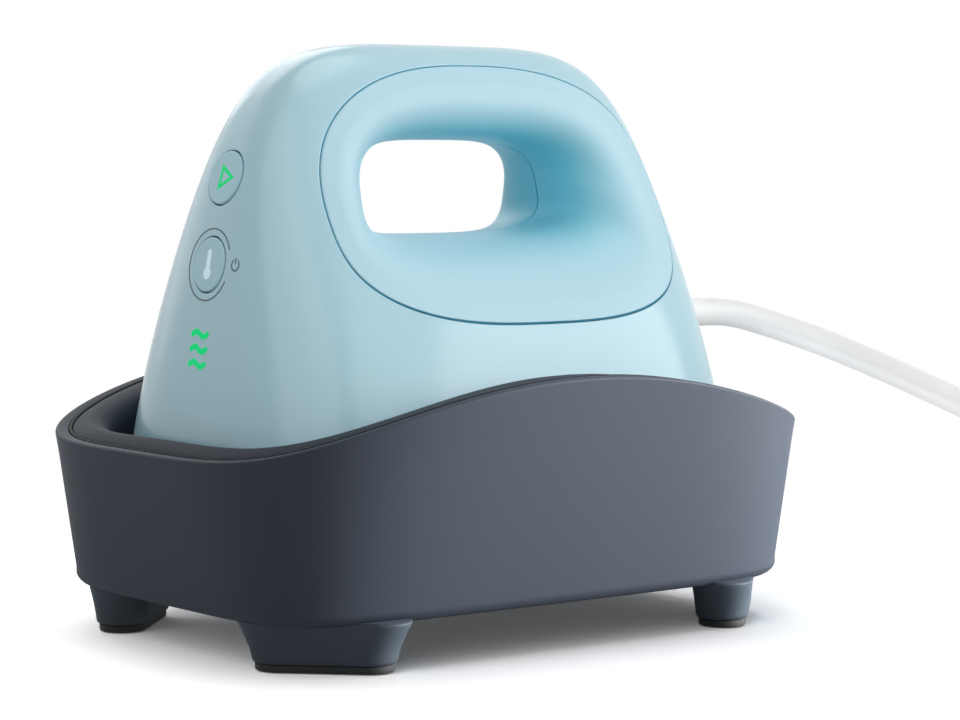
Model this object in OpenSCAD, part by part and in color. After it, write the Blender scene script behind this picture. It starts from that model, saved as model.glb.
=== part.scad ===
// Hand-held cap heat press resting in its insulated base.
// Frame: origin on the floor under the middle of the base, +X towards the power cord,
// -X towards the buttons, +Z up. All sizes are millimetres.

/* [Base] */
// How far the base's lower edge reaches past the foot of the press, at each end
base_end_room = 6.2; // [5:0.1:10]
// How far the base's lower edge reaches past the foot of the press, on each side
base_side_room = 3; // [2:0.1:8]
// Outward lean of the base wall, per millimetre of height
base_lean = 0.18; // [0.17:0.005:0.22]
// Height of the rim above the floor at both ends
rim_end_z = 51.2; // [49:0.1:54]
// Height of the rim above the floor at the middle of the long sides
rim_mid_z = 70; // [66:0.5:74]
// Wall of the outer tub
base_wall = 3; // [2.4:0.1:3.6]
// Wall of the inner liner
liner_wall = 2.6; // [2:0.1:3]
// Width of the rounded rim, from the tub's edge to the cradle
rim_w = 12.5; // [11.5:0.1:13]
// How far the liner's rounded rim stands above the tub's edge, at both ends
rim_crown = 2.8; // [1.5:0.1:3.5]
// Open seam between tub and liner
groove = 0.8; // [0.3:0.1:1]

/* [Feet] */
// Height of the tub's lower edge above the floor
foot_h = 11.8; // [9:0.2:15]
// Length of a foot at its lower end
foot_len = 36; // [30:1:40]
// Width of a foot at its lower end
foot_w = 14; // [12:0.5:18]
// How much longer a foot gets upwards, in all
foot_spread = 7; // [3:0.5:8]
// How much wider a foot gets upwards, in all
foot_swell = 2; // [1:0.5:6]
// Thickness of the rubber pad under a foot
pad_t = 2; // [1.5:0.1:3]

/* [Press body] */
// Height of the bay for the electrics, from the chassis up to the hand opening
bay_h = 28.8; // [26:0.2:34]
// Casing past the hot plate at each end, at the foot of the press
plate_end_room = 15.3; // [14:0.1:18]
// Casing past the hot plate on each side, at the foot of the press
plate_side_room = 19; // [18:0.1:22]
// Width that the sides lean in to at the top
press_top_w = 54; // [50:0.5:60]
// Wall of the outer shell
shell_wall = 2.5; // [2:0.1:3]

/* [Handle] */
// Height of the grip bar, from the opening to the top
bar_h = 25; // [24:0.5:28]
// Length of the hand opening
opening_len = 70; // [64:1:74]
// Height of the hand opening
opening_h = 24.8; // [22:0.2:27]
// Shell past the side trim at each end, measured to the foot of the press
trim_room = 23; // [22:0.1:25]
// Height of the shell above the trim
trim_cap = 5.8; // [5.4:0.1:7]
// How far the trim reaches below the hand opening
trim_drop = 21.8; // [19:0.2:24]
// Wall of the trims
trim_wall = 2.2; // [1.8:0.1:2.6]
// Open seam round the trims
seam = 0.4; // [0.3:0.05:0.6]

/* [Hot plate] */
// Length of the hot plate along its curve's chord
plate_len = 127; // [120:1:130]
// Width of the hot plate
plate_w = 76; // [68:1:84]
// Radius of the hollow working face
plate_radius = 165; // [150:1:190]
// Thickness of the plate
plate_t = 7; // [6:0.2:8]
// Height of the middle of the working face above the floor, at rest
plate_z = 52; // [51:0.2:53]
// Diameter of the tubular heater
heater_d = 6; // [5.5:0.1:6.6]
// Room between the working face and the cradle under it
cradle_gap = 4; // [3:0.2:5]

/* [Controls] */
// Diameter of both push buttons
button_d = 14; // [12:0.2:15]
// Travel of both push buttons
button_travel = 1; // [0.6:0.1:1.2]
// Gap all round a push button
button_gap = 0.35; // [0.3:0.05:0.5]
// Height of the start button above the floor
start_z = 119.3; // [118:0.1:120]
// Height of the heat button above the floor
heat_z = 97.4; // [96:0.1:98]
// Height of the middle of the three heat lights
lights_z = 76.1; // [75:0.1:77]

/* [Cord] */
// Diameter of the power cord
cord_d = 7.8; // [7:0.1:8.2]
// Height of the cord where it leaves the press
cord_z = 80; // [79:0.5:82]
// Length of the tapered boot outside the shell
boot_len = 24; // [20:1:24]
// Turns in the put-away coil
coil_turns = 6.3; // [5:0.1:8]
// Radius of the innermost turn of the coil
coil_in_r = 31; // [30:1:36]

/* [Hidden] */
$fn = 48;

// Fit between fixed pieces, and running gap between pieces that part
fit = 0.2;
clear = 0.3;

// Points round every lofted loop
around = 64;
round_step = 360 / around;
round_even = 11.5;

// Casing and base, from the hot plate outwards
press_len = plate_len + 2 * plate_end_room;
press_w = plate_w + 2 * plate_side_room;
base_len = press_len + 2 * base_end_room;
base_w = press_w + 2 * base_side_room;
trim_len = press_len - 2 * trim_room;

// Form of the outlines: squareness of each rounded oval
tub_foot_n = 5.7;
tub_rim_n = 4.3;
press_n = 3.4;
plate_n = 5;
trim_up_n = 2.44;
trim_down_n = 2.82;
opening_n = 3.4;

// Arches that run along Y share one axis below the floor
arch_z0 = plate_z - plate_radius;
floor_r = plate_radius - cradle_gap;
surround_r = plate_radius + 2;
web_t = 2.6;
lip_h = 6;
shell_edge_r = plate_radius + 11;

// Stack between hot plate and chassis
heater_edge = 20;
heater_tail = 12;
heater_y = plate_w / 2 - heater_edge;
heater_bend_x = plate_len / 2 - heater_y - heater_d / 2 - 4;
heater_end_x = plate_len / 2 - heater_tail;
heater_r = plate_radius + plate_t + heater_d / 2 + fit / 2;
wool_r = heater_r + heater_d / 2 + 0.6;
wool_t = 3.5;
shield_r = wool_r + wool_t + fit;
shield_t = 1;
boss_d = 9;
boss_end = 15.5;
boss_side = 11;
boss_x = plate_len / 2 - boss_end;
boss_y = plate_w / 2 - boss_side;
chassis_z = shield_r + shield_t + arch_z0 + 2.5;
chassis_t = 2.5;
chassis_len = plate_len - 3;
chassis_w = plate_w - 6;
tower_x = 20;
tower_d = 5.6;
tab_w = 12;
board_z = chassis_z + chassis_t + 4.5;
board_len = 66;
board_w = 44;
board_t = 1.6;
terminal_len = 12;
terminal_w = 18;
terminal_h = 12;
terminal_x = chassis_len / 2 - terminal_len - 4;
board_x = terminal_x - 5 - board_len / 2;
relay_len = 19;
relay_w = 15.5;
relay_h = 12;
relay_x = board_x - 20;
relay_y = -12;
store_d = 10;
store_h = 13;
store_x = board_x + 16;
store_y = 8;
filter_len = 14;
filter_w = 6;
filter_h = 11;
filter_x = board_x + 10;
filter_y = -16;
standoff_d = 5;
board_hole_x = board_len / 2 - 4;
board_hole_y = board_w / 2 - 4;

// Height of the press, from the chassis upwards
press_top = chassis_z + chassis_t + bay_h + opening_h + bar_h;

// Form of the press body's side profiles
press_z0 = 36;
press_mid_x = 0.8;
press_lean = 15.2;
press_end_n = 4.8;
press_side_n = 2.9;

// Places of the handle's outlines
opening_x = 1.2;
opening_z = press_top - bar_h - opening_h / 2;
opening_lean = 2.6;
trim_x = 4.3;
trim_z = press_top - bar_h - opening_h;
trim_up = press_top - trim_cap - trim_z;
trim_lean = 4;
flare_n = 2.5;
flange_w = 2.2;
flange_up = 0.6;
flange_t = 1.4;

// Tub and liner
rim_rise = rim_mid_z - rim_end_z;
crown_run = 1.15;
crown_power = 0.6;
edge_round = 3;
lip_round = 1.2;
tub_lip = 6;
tub_flange = 9;
tub_floor_t = 2.5;
liner_inset = base_wall + groove;
cradle_draft = 0.8;
cradle_pad_len = 14;
cradle_pad_w = 6;
cradle_pad_end = 23.5;
cradle_pad_x = plate_len / 2 - cradle_pad_end;
floor_loops = 4;
felt_t = 6;
felt_gap = 0.6;
post_d = 9;
post_end = 27;
post_side = 34;
post_x = base_len / 2 - post_end;
post_y = base_w / 2 - post_side;
screw_d = 3;
screw_head_d = 6;
screw_head_h = 2.2;
screw_len = 12;
screw_sunk = 1;
foot_end = 19.5;
foot_side = 15;
foot_x = base_len / 2 - foot_end;
foot_y = base_w / 2 - foot_side;
foot_turn = 45;

// Controls, in depths behind the outer face of the shell
panel_z = 104;
cap_t = 3.6;
cap_proud = 0.2;
rim_t = 1.6;
rim_d = button_d + 2.4;
stem_d = 5;
stem_end = cap_t + rim_t + 2.6;
plunger_d = 3.4;
plunger_top = stem_end + button_travel + clear;
switch_w = 6.2;
switch_top = plunger_top + 1.5;
switch_t = 3.2;
panel_depth = switch_top + switch_t + clear;
panel_w = 24;
panel_top = 20;
panel_low = 40;
leg_w = 4;
inlay_t = 0.8;
inlay_gap = 0.05;
wave_w = 6.6;
wave_h = 0.6;
wave_t = 1.6;
wave_pitch = 3.8;
pipe_depth = 9.6;

// Cord: boot, hand-chosen route on its way to the floor, and the coil
boot_x = press_mid_x + half_len(share_of(cord_z, 0), 0);
boot_hole_d = 12.4;
boot_d = 14;
boot_tip_d = cord_d + 1.8;
cord_start_x = boot_x + boot_len;
route = [[cord_start_x, 0, cord_z], [104, -0.4, cord_z - 0.2], [111, -1.8, 78.8], [120, -5, 76],
    [128, -9, 73], [136, -13.6, 69.6], [145, -20, 65], [155, -27.5, 59.5], [166, -35.5, 53.2],
    [177, -43.7, 46.6], [188, -52, 39.4], [198, -60, 32], [208, -67.4, 23.4], [218, -74, 14.6],
    [230, -81, 7], [244, -87, 4.2]];
cord_rest = 4.2;
entry_turn = -20;
coil_pitch = cord_d + 0.5;
coil_meet = 0.1;
coil_tail = 36;
coil_out_r = coil_in_r + coil_pitch * coil_turns / 2;
coil_rings = 24;
plug_len = 40;
pin_gap = 12.7;
pin = [1.5, 6.4, 18];

// Rounded oval: half length a, half width b, squareness n; turn evens out the points along its flats
function sup(v, n) = sign(v) * pow(abs(v), 2 / n);
function oval(a, b, n, t) = [a * sup(cos(t), n), b * sup(sin(t), n)];
function turn(i) = i * round_step - round_even * sin(4 * i * round_step);
function oval_loop(a, b, n) = [for (i = [0 : around - 1]) oval(a, b, n, turn(i))];

// Height of an arch of radius r at a distance x from the middle
function arch(r, x) = arch_z0 + sqrt(r * r - x * x);

// Tub wall: a loop at share s of the height, moved in by inset and up by rise
function rim_wave(t) = cos(90 * sup(cos(t), tub_rim_n));
function rim_z(t) = rim_end_z + rim_rise * rim_wave(t);
function rim_point(t, inset, rise) = let(
        z = rim_z(t),
        grow = base_lean * (z - foot_h) - inset,
        p = oval(base_len / 2 + grow, base_w / 2 + grow, tub_rim_n, t))
    [p.x, p.y, z + rise];
function foot_point(t, inset, rise) = let(
        p = oval(base_len / 2 - inset, base_w / 2 - inset, tub_foot_n, t))
    [p.x, p.y, foot_h + rise];
function wall_loop(s, inset) = [for (i = [0 : around - 1]) let(t = turn(i))
    foot_point(t, inset, 0) * (1 - s) + rim_point(t, inset, 0) * s];
function rim_loop(inset, rise) = [for (i = [0 : around - 1]) rim_point(turn(i), inset, rise)];

// Rounded rim of the liner: it runs out towards the middle of the long sides
function crown_z(t) = rim_crown * (1 - crown_run * pow(max(0, rim_wave(t)), crown_power));
function crown_loop(inset, share) = [for (i = [0 : around - 1]) let(t = turn(i))
    rim_point(t, inset, share * crown_z(t))];
function foot_loop(inset, rise) = [for (i = [0 : around - 1]) foot_point(turn(i), inset, rise)];

// Cradle inside the liner: a loop that follows the arch of radius r
function cradle_len(inset) = base_len / 2 + base_lean * (rim_end_z - foot_h) - inset;
function cradle_wid(inset) = base_w / 2 + base_lean * (rim_mid_z - foot_h) - inset;
function cradle_loop(inset, share, r) = [for (i = [0 : around - 1]) let(
        p = share * oval(cradle_len(inset), cradle_wid(inset), tub_rim_n, turn(i)))
    [p.x, p.y, arch(r, p.x)]];

// Press body: half length and half width at height share h, for a body that is smaller by inset
function round_off(h, n) = pow(max(0, 1 - pow(max(h, 0), n)), 1 / n);
function half_len(h, inset) = (press_len / 2 - inset - press_lean * h) * round_off(h, press_end_n);
function half_wid(h, inset) = ((press_w + press_top_w) / 4 - inset + (press_w - press_top_w) / 4
    * cos(180 * max(h, 0))) * round_off(h, press_side_n);
function share_of(z, inset) = (z - press_z0) / (press_top - inset - press_z0);
function body_point(t, z, inset) = let(
        h = share_of(z, inset),
        p = oval(half_len(h, inset), half_wid(h, inset), press_n, t))
    [press_mid_x + p.x, p.y, z];
function body_y(x, z, inset) = let(
        h = share_of(z, inset),
        a = half_len(h, inset))
    h >= 1 || a <= abs(x - press_mid_x) ? 0
    : half_wid(h, inset) * pow(1 - pow(abs(x - press_mid_x) / a, press_n), 1 / press_n);
function front_x(z) = press_mid_x - half_len(share_of(z, 0), 0);
function front_tilt(z) = atan(front_x(z + 0.5) - front_x(z - 0.5));

// Loop of the body that follows an arch below and closes to the top: share 0 is the arch
function edge_z(t, r) = arch(r, press_len / 2 * 0.97 * sup(cos(t), press_n));
function body_loop(share, r, inset) = [for (i = [0 : around - 1]) let(
        t = turn(i),
        z0 = edge_z(t, r))
    body_point(t, z0 + (press_top - inset - z0) * share, inset)];

// Handle outlines in the XZ plane, and the flared skin between them
function opening_at(t, grow) = let(
        up = sup(sin(t), opening_n),
        half = opening_len / 2 + grow - opening_lean * up)
    [opening_x + half * sup(cos(t), opening_n), opening_z + (opening_h / 2 + grow) * up];
function trim_at(t, side, high, low) = let(
        n = sin(t) > 0 ? trim_up_n : trim_down_n,
        up = sup(sin(t), n),
        tall = sin(t) > 0 ? trim_up + high : trim_drop + low)
    [trim_x + (trim_len / 2 + side + trim_lean * up) * sup(cos(t), n), trim_z + tall * up];
function flare_in(s) = 1 - pow(cos(s), 2 / flare_n);
function flare_out(s) = pow(sin(s), 2 / flare_n);
function trim_point(t, s, inset) = let(
        a = opening_at(t, inset),
        b = trim_at(t, 0, 0, 0),
        p = a + (b - a) * flare_in(s))
    [p.x, seam / 4 + (body_y(p.x, p.y, inset) - seam / 4) * flare_out(s), p.y];
function trim_loop(s, inset) = [for (i = [0 : around - 1]) trim_point(i * round_step, s, inset)];
function edge_loop(side, high, low, inset) = [for (i = [0 : around - 1]) let(
        p = trim_at(i * round_step, side, high, low))
    [p.x, body_y(p.x, p.y, inset), p.y]];

// Lofted solids over loops of equal count: one closed on itself, one closed at two middle points
function skin(m, n, closed) = [for (i = [0 : m - (closed ? 1 : 2)]) for (j = [0 : n - 1]) each let(
        k = (j + 1) % n,
        up = (i + 1) % m)
    [[i * n + j, up * n + k, i * n + k], [i * n + j, up * n + j, up * n + k]]];
module ring_loft(loops) {
    polyhedron([for (l = loops) each l], skin(len(loops), len(loops[0]), true), 6);
}
module cup_loft(first, loops, last) {
    m = len(loops);
    n = len(loops[0]);
    polyhedron(
        concat([for (l = loops) each l], [first, last]),
        concat(skin(m, n, false),
            [for (j = [0 : n - 1]) [m * n, j, (j + 1) % n]],
            [for (j = [0 : n - 1]) [(m - 1) * n + j, m * n + 1, (m - 1) * n + (j + 1) % n]]),
        6);
}

// Line of the surround's lip beside the chassis, and the screw towers inside it
lip_t = 2;
lip_y = body_y(tower_x, chassis_z, shell_wall + 2 * fit + lip_t);
tower_y = lip_y - tower_d / 2 - fit;
tower_head_d = 4.6;
tab_y = tower_y + tower_head_d / 2 + fit;

// Shapes that several pieces share
module at_corners(x, y) {
    for (sx = [-1, 1])
        for (sy = [-1, 1])
            translate([sx * x, sy * y, 0])
                children();
}
module on_front(z) {
    translate([front_x(z), 0, z])
        rotate([0, front_tilt(z) - 90, 0])
            children();
}
module arch_sheet(r, t) {
    translate([0, 0, arch_z0])
        rotate([90, 0, 0])
            difference() {
                cylinder(r = r + t, h = 3 * plate_w, center = true, $fn = 180);
                cylinder(r = r, h = 4 * plate_w, center = true, $fn = 180);
            }
}
module plate_outline(grow) {
    polygon(oval_loop(plate_len / 2 + grow, plate_w / 2 + grow, plate_n));
}
module screw(len, head_d) {
    cylinder(d = head_d, h = screw_head_h);
    translate([0, 0, -len])
        cylinder(d = screw_d, h = len + 0.1);
}
module stadium(len, w, h) {
    translate([-(len - w) / 2, 0, 0])
        cylinder(d = w, h = h);
    translate([(len - w) / 2, 0, 0])
        cylinder(d = w, h = h);
    translate([-(len - w) / 2, -w / 2, 0])
        cube([len - w, w, h]);
}
module at_feet() {
    for (sx = [-1, 1])
        for (sy = [-1, 1])
            translate([sx * foot_x, sy * foot_y, 0])
                rotate([0, 0, -sx * sy * foot_turn])
                    children();
}

// Base

module base_tub() {
    color("#4a505a")
        ring_loft([
            foot_loop(tub_flange, 0),
            foot_loop(edge_round, 0),
            foot_loop(edge_round * 0.3, edge_round * 0.3),
            wall_loop(0.05, 0),
            wall_loop(0.35, 0),
            wall_loop(0.7, 0),
            rim_loop(0, -lip_round),
            rim_loop(lip_round * 0.3, -lip_round * 0.3),
            rim_loop(lip_round, 0),
            rim_loop(base_wall, 0),
            rim_loop(base_wall, -tub_lip),
            wall_loop(0.45, base_wall),
            foot_loop(edge_round + base_wall, tub_floor_t),
            foot_loop(tub_flange, tub_floor_t)]);
}

module liner_post() {
    translate([0, 0, foot_h + tub_floor_t + fit])
        cylinder(d = post_d,
            h = arch(floor_r - liner_wall, post_x) + liner_wall / 2 - foot_h - tub_floor_t - fit);
}

module base_liner() {
    wall_in = rim_w;
    wall_out = rim_w - liner_wall;
    color("#444a54")
        difference() {
            union() {
                cup_loft([0, 0, arch(floor_r - liner_wall, 0)], concat(
                    [for (k = [1 : floor_loops])
                        cradle_loop(wall_out + cradle_draft, k / floor_loops, floor_r - liner_wall)],
                    [rim_loop(wall_out, -tub_lip)],
                    [rim_loop(liner_inset + edge_round / 2, -edge_round)],
                    [rim_loop(liner_inset, -edge_round + fit * 2)],
                    [rim_loop(liner_inset, -clear)],
                    [crown_loop(liner_inset + edge_round * 0.3, 0.35)],
                    [crown_loop(liner_inset + edge_round, 0.9)],
                    [crown_loop((liner_inset + wall_in) / 2, 1)],
                    [crown_loop(wall_in - edge_round * 0.7, 0.75)],
                    [rim_loop(wall_in - edge_round * 0.2, -clear)],
                    [rim_loop(wall_in, -edge_round)],
                    [for (k = [0 : floor_loops - 1])
                        cradle_loop(wall_in + cradle_draft, 1 - k / floor_loops, floor_r)]),
                    [0, 0, arch(floor_r, 0)]);
                at_corners(post_x, post_y)
                    liner_post();
            }
            at_corners(post_x, post_y)
                translate([0, 0, foot_h])
                    cylinder(d = screw_d, h = screw_len + 2);
        }
}

module base_bottom() {
    color("#3f454e")
        difference() {
            union() {
                translate([0, 0, foot_h])
                    linear_extrude(tub_floor_t)
                        polygon(oval_loop(base_len / 2 - tub_flange - fit,
                            base_w / 2 - tub_flange - fit, tub_foot_n));
                at_feet()
                    hull() {
                        translate([0, 0, pad_t])
                            stadium(foot_len, foot_w, 0.5);
                        translate([0, 0, foot_h - 0.5])
                            stadium(foot_len + foot_spread, foot_w + foot_swell, 0.5);
                    }
            }
            at_corners(post_x, post_y) {
                translate([0, 0, foot_h - 1])
                    cylinder(d = screw_d + 2 * fit, h = tub_floor_t + 2);
                translate([0, 0, foot_h - 1])
                    cylinder(d = screw_head_d + 1, h = screw_sunk + 1);
            }
        }
}

module foot_pads() {
    color("#17181b")
        at_feet()
            stadium(foot_len - 1.6, foot_w - 1.6, pad_t);
}

module base_screws() {
    color("#8b8f94")
        at_corners(post_x, post_y)
            translate([0, 0, foot_h + screw_sunk])
                mirror([0, 0, 1])
                    screw(screw_len, screw_head_d);
}

module base_insulation() {
    color("#d8d2bf")
        intersection() {
            arch_sheet(floor_r - liner_wall - felt_gap - felt_t, felt_t);
            translate([0, 0, foot_h])
                linear_extrude(press_top)
                    square([2 * post_x - post_d - 4, plate_w], center = true);
        }
}

module cradle_pads() {
    color("#23262b")
        intersection() {
            arch_sheet(floor_r + 0.05, cradle_gap + surround_r - plate_radius - clear - 0.05);
            at_corners(cradle_pad_x, plate_w / 2 + cradle_pad_w)
                linear_extrude(press_top)
                    square([cradle_pad_len, cradle_pad_w], center = true);
        }
}

// Press: casing

module wave_outline(grow) {
    half = wave_w / 2;
    steps = 12;
    line = [for (i = [0 : steps]) let(y = -half + wave_w * i / steps) [wave_h * sin(180 * y / half), y]];
    polygon(concat(
        [for (p = line) p + [wave_t / 2 + grow, 0]],
        [for (i = [0 : steps]) line[steps - i] - [wave_t / 2 + grow, 0]]));
    for (p = [line[0], line[steps]])
        translate(p)
            circle(d = wave_t + 2 * grow);
}

module waves(grow, low, high) {
    on_front(lights_z)
        for (k = [-1 : 1])
            translate([k * wave_pitch, 0, low])
                linear_extrude(high - low)
                    wave_outline(grow);
}

module press_shell() {
    outer_rings = 14;
    inner_rings = 12;
    color("#a9ccd6")
        difference() {
            cup_loft(
                [press_mid_x, 0, press_top - shell_wall],
                concat(
                    [for (k = [1 : inner_rings])
                        body_loop(cos(90 * k / inner_rings), shell_edge_r, shell_wall)],
                    [for (k = [0 : outer_rings - 1]) body_loop(sin(90 * k / outer_rings), shell_edge_r, 0)]),
                [press_mid_x, 0, press_top]);
            translate([0, press_w, 0])
                rotate([90, 0, 0])
                    linear_extrude(2 * press_w)
                        polygon([for (i = [0 : around - 1]) trim_at(i * round_step, seam, seam, seam)]);
            for (z = [start_z, heat_z])
                on_front(z)
                    translate([0, 0, -2 * cap_t])
                        cylinder(d = button_d + 2 * button_gap, h = 4 * cap_t);
            waves(0.1, -2 * shell_wall, shell_wall);
            translate([boot_x - 12, 0, cord_z])
                rotate([0, 90, 0])
                    cylinder(d = boot_hole_d + 2 * fit, h = 24);
        }
}

module handle_trim() {
    steps_out = 8;
    steps_in = 5;
    under = shell_wall + 2 * fit;
    ring_loft(concat(
        [for (k = [0 : steps_out]) trim_loop(90 * k / steps_out, 0)],
        [edge_loop(0, 0, 0, under)],
        [edge_loop(flange_w, flange_up, flange_w, under)],
        [edge_loop(flange_w, flange_up, flange_w, under + flange_t)],
        [for (k = [0 : steps_in]) trim_loop(84 - 84 * k / steps_in, trim_wall)]));
}

module handle_trim_left() {
    color("#8fc0d0")
        handle_trim();
}

module handle_trim_right() {
    color("#8fc0d0")
        mirror([0, 1, 0])
            handle_trim();
}

module plate_surround() {
    inner_r = shell_wall + 2 * fit;
    hole = [for (p = oval_loop(plate_len / 2 + 0.8, plate_w / 2 + 0.8, plate_n)) [p.x, p.y]];
    color("#5f7c86")
        difference() {
            union() {
                ring_loft([
                    [for (p = hole) [p.x, p.y, arch(surround_r, p.x)]],
                    [for (p = body_loop(0, shell_edge_r, 0.8)) [p.x, p.y, arch(surround_r, p.x)]],
                    body_loop(0, shell_edge_r - clear, 0),
                    body_loop(0, shell_edge_r - clear, inner_r),
                    body_loop(0, shell_edge_r + lip_h, inner_r),
                    body_loop(0, shell_edge_r + lip_h, inner_r + lip_t),
                    [for (p = body_loop(0, shell_edge_r - clear, inner_r + lip_t))
                        [p.x, p.y, arch(surround_r + web_t, p.x)]],
                    [for (p = hole) [p.x, p.y, arch(surround_r + web_t, p.x)]]]);
                at_corners(tower_x, tower_y)
                    translate([0, 0, arch(surround_r + 1, tower_x)])
                        cylinder(d = tower_d, h = chassis_z - arch(surround_r + 1, tower_x));
            }
            at_corners(tower_x, tower_y)
                translate([0, 0, chassis_z - screw_len + 2])
                    cylinder(d = screw_d, h = screw_len);
        }
}

// Press: heating

function on_arch(r, x, y) = [x, y, arch(r, x)];
function heater_line() = let(
        run = heater_end_x + heater_bend_x,
        reach = heater_y * sqrt(1 - pow(heater_bend_x / heater_r, 2)))
    concat(
        [for (k = [0 : 8]) on_arch(heater_r, heater_end_x - run * k / 8, heater_y)],
        [for (k = [1 : 11]) on_arch(heater_r, -heater_bend_x - reach * sin(15 * k), heater_y * cos(15 * k))],
        [for (k = [0 : 8]) on_arch(heater_r, run * k / 8 - heater_bend_x, -heater_y)]);

module heat_plate() {
    color("#b9bcc0")
        difference() {
            union() {
                intersection() {
                    arch_sheet(plate_radius, plate_t);
                    linear_extrude(press_top)
                        plate_outline(0);
                }
                at_corners(boss_x, boss_y)
                    translate([0, 0, arch(plate_radius + plate_t / 2, boss_x)])
                        cylinder(d = boss_d, h = chassis_z - arch(plate_radius + plate_t / 2, boss_x));
            }
            at_corners(boss_x, boss_y)
                translate([0, 0, chassis_z - screw_len + 2])
                    cylinder(d = screw_d, h = screw_len);
        }
}

module heater() {
    line = heater_line();
    last = len(line) - 1;
    slope = asin(heater_end_x / heater_r);
    inward = [-cos(slope), 0, sin(slope)];
    color("#6d6a66") {
        swept_tube(line, inward, -inward, heater_d, 12);
        for (p = [line[0], line[last]])
            translate(p)
                rotate([0, 90 + slope, 0])
                    translate([0, 0, -0.5])
                        cylinder(d = heater_d / 2, h = 6);
    }
}

module plate_insulation() {
    color("#e4ddca")
        difference() {
            intersection() {
                arch_sheet(wool_r, wool_t);
                linear_extrude(press_top)
                    plate_outline(-1);
            }
            at_corners(boss_x, boss_y)
                cylinder(d = boss_d + 2 * fit, h = press_top);
        }
}

module heat_shield() {
    color("#c9cdd1")
        difference() {
            intersection() {
                arch_sheet(shield_r, shield_t);
                linear_extrude(press_top)
                    plate_outline(0);
            }
            at_corners(boss_x, boss_y)
                cylinder(d = boss_d + 2 * fit, h = press_top);
        }
}

module thermistor() {
    r = 1.3;
    color("#c98b3c")
        translate([0, 0, arch(plate_radius + plate_t, 0) + r + fit / 2])
            rotate([0, 90, 0]) {
                cylinder(r = r, h = 7, center = true);
                translate([0, 0, 3.4])
                    cylinder(r = 0.6, h = 8);
            }
}

module thermal_fuse() {
    r = 1.6;
    color("#d9d3c4")
        translate([0, heater_y / 2 + 1, arch(plate_radius + plate_t, 0) + r + fit / 2])
            rotate([0, 90, 0]) {
                cylinder(r = r, h = 11, center = true);
                cylinder(r = 0.5, h = 26, center = true);
            }
}

module chassis() {
    color("#9aa0a6")
        difference() {
            union() {
                translate([0, 0, chassis_z])
                    linear_extrude(chassis_t)
                        polygon(oval_loop(chassis_len / 2, chassis_w / 2, plate_n));
                for (s = [-1, 1])
                    translate([s * tower_x - tab_w / 2, -tab_y, chassis_z])
                        cube([tab_w, 2 * tab_y, chassis_t]);
                translate([board_x, 0, chassis_z])
                    at_corners(board_hole_x, board_hole_y)
                        cylinder(d = standoff_d, h = board_z - chassis_z);
                intersection() {
                    on_front(panel_z)
                        for (s = [-1, 1])
                            translate([-panel_low, s * (panel_w / 2 - leg_w) - leg_w / 2,
                                -panel_depth - board_t - fit - leg_w])
                                cube([panel_low + panel_top, leg_w, leg_w]);
                    translate([-press_len, -press_w, chassis_z])
                        cube([2 * press_len, 2 * press_w, press_top]);
                }
            }
            on_front(panel_z)
                translate([-panel_low - 1, -panel_w / 2 - 1, -panel_depth - board_t - fit])
                    cube([panel_low + panel_top, panel_w + 2, 2 * panel_depth]);
            at_corners(boss_x, boss_y)
                cylinder(d = screw_d + 2 * fit, h = press_top);
            at_corners(tower_x, tower_y)
                cylinder(d = screw_d + 2 * fit, h = press_top);
            translate([board_x, 0, chassis_z - 1])
                at_corners(board_hole_x, board_hole_y)
                    cylinder(d = screw_d, h = board_z);
        }
}

module plate_screws() {
    color("#8b8f94")
        at_corners(boss_x, boss_y)
            translate([0, 0, chassis_z + chassis_t])
                screw(screw_len - 3, screw_head_d);
}

module chassis_screws() {
    color("#8b8f94")
        at_corners(tower_x, tower_y)
            translate([0, 0, chassis_z + chassis_t])
                screw(screw_len - 3, tower_head_d);
}

// Press: electrics

module power_board() {
    color("#2f6b45")
        difference() {
            union() {
                translate([board_x - board_len / 2, -board_w / 2, board_z])
                    cube([board_len, board_w, board_t]);
                translate([relay_x, relay_y, board_z + board_t])
                    cube([relay_len, relay_w, relay_h]);
                translate([store_x, store_y, board_z + board_t])
                    cylinder(d = store_d, h = store_h);
                translate([filter_x, filter_y, board_z + board_t])
                    cube([filter_len, filter_w, filter_h]);
            }
            translate([board_x, 0, 0])
                at_corners(board_hole_x, board_hole_y)
                    cylinder(d = screw_d + 2 * fit, h = press_top);
        }
}

module board_screws() {
    color("#8b8f94")
        translate([board_x, 0, board_z + board_t])
            at_corners(board_hole_x, board_hole_y)
                screw(4, tower_head_d);
}

module control_board() {
    color("#2f6b45")
        on_front(panel_z)
            translate([-panel_low, -panel_w / 2, -panel_depth - board_t])
                cube([panel_low + panel_top, panel_w, board_t]);
}

module push_switch(z) {
    difference() {
        on_front(z) {
            translate([-switch_w / 2, -switch_w / 2, -switch_top - 2 * switch_t])
                cube([switch_w, switch_w, 2 * switch_t]);
            translate([0, 0, -switch_top - 0.1])
                cylinder(d = plunger_d, h = switch_top - plunger_top + 0.1);
        }
        on_front(panel_z)
            translate([-panel_low, -panel_w / 2, -panel_depth - 2 * switch_t])
                cube([panel_low + panel_top, panel_w, 2 * switch_t + inlay_gap]);
    }
}

module start_switch() {
    color("#26282c")
        push_switch(start_z);
}

module heat_switch() {
    color("#26282c")
        push_switch(heat_z);
}

module heat_lights() {
    color("#18c878") {
        waves(0, -shell_wall - 1, 0.05);
        on_front(lights_z)
            translate([-1.5 * wave_pitch, -wave_w / 2 - 1, -pipe_depth])
                cube([3 * wave_pitch, wave_w + 2, pipe_depth - shell_wall - 0.6]);
    }
}

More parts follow.
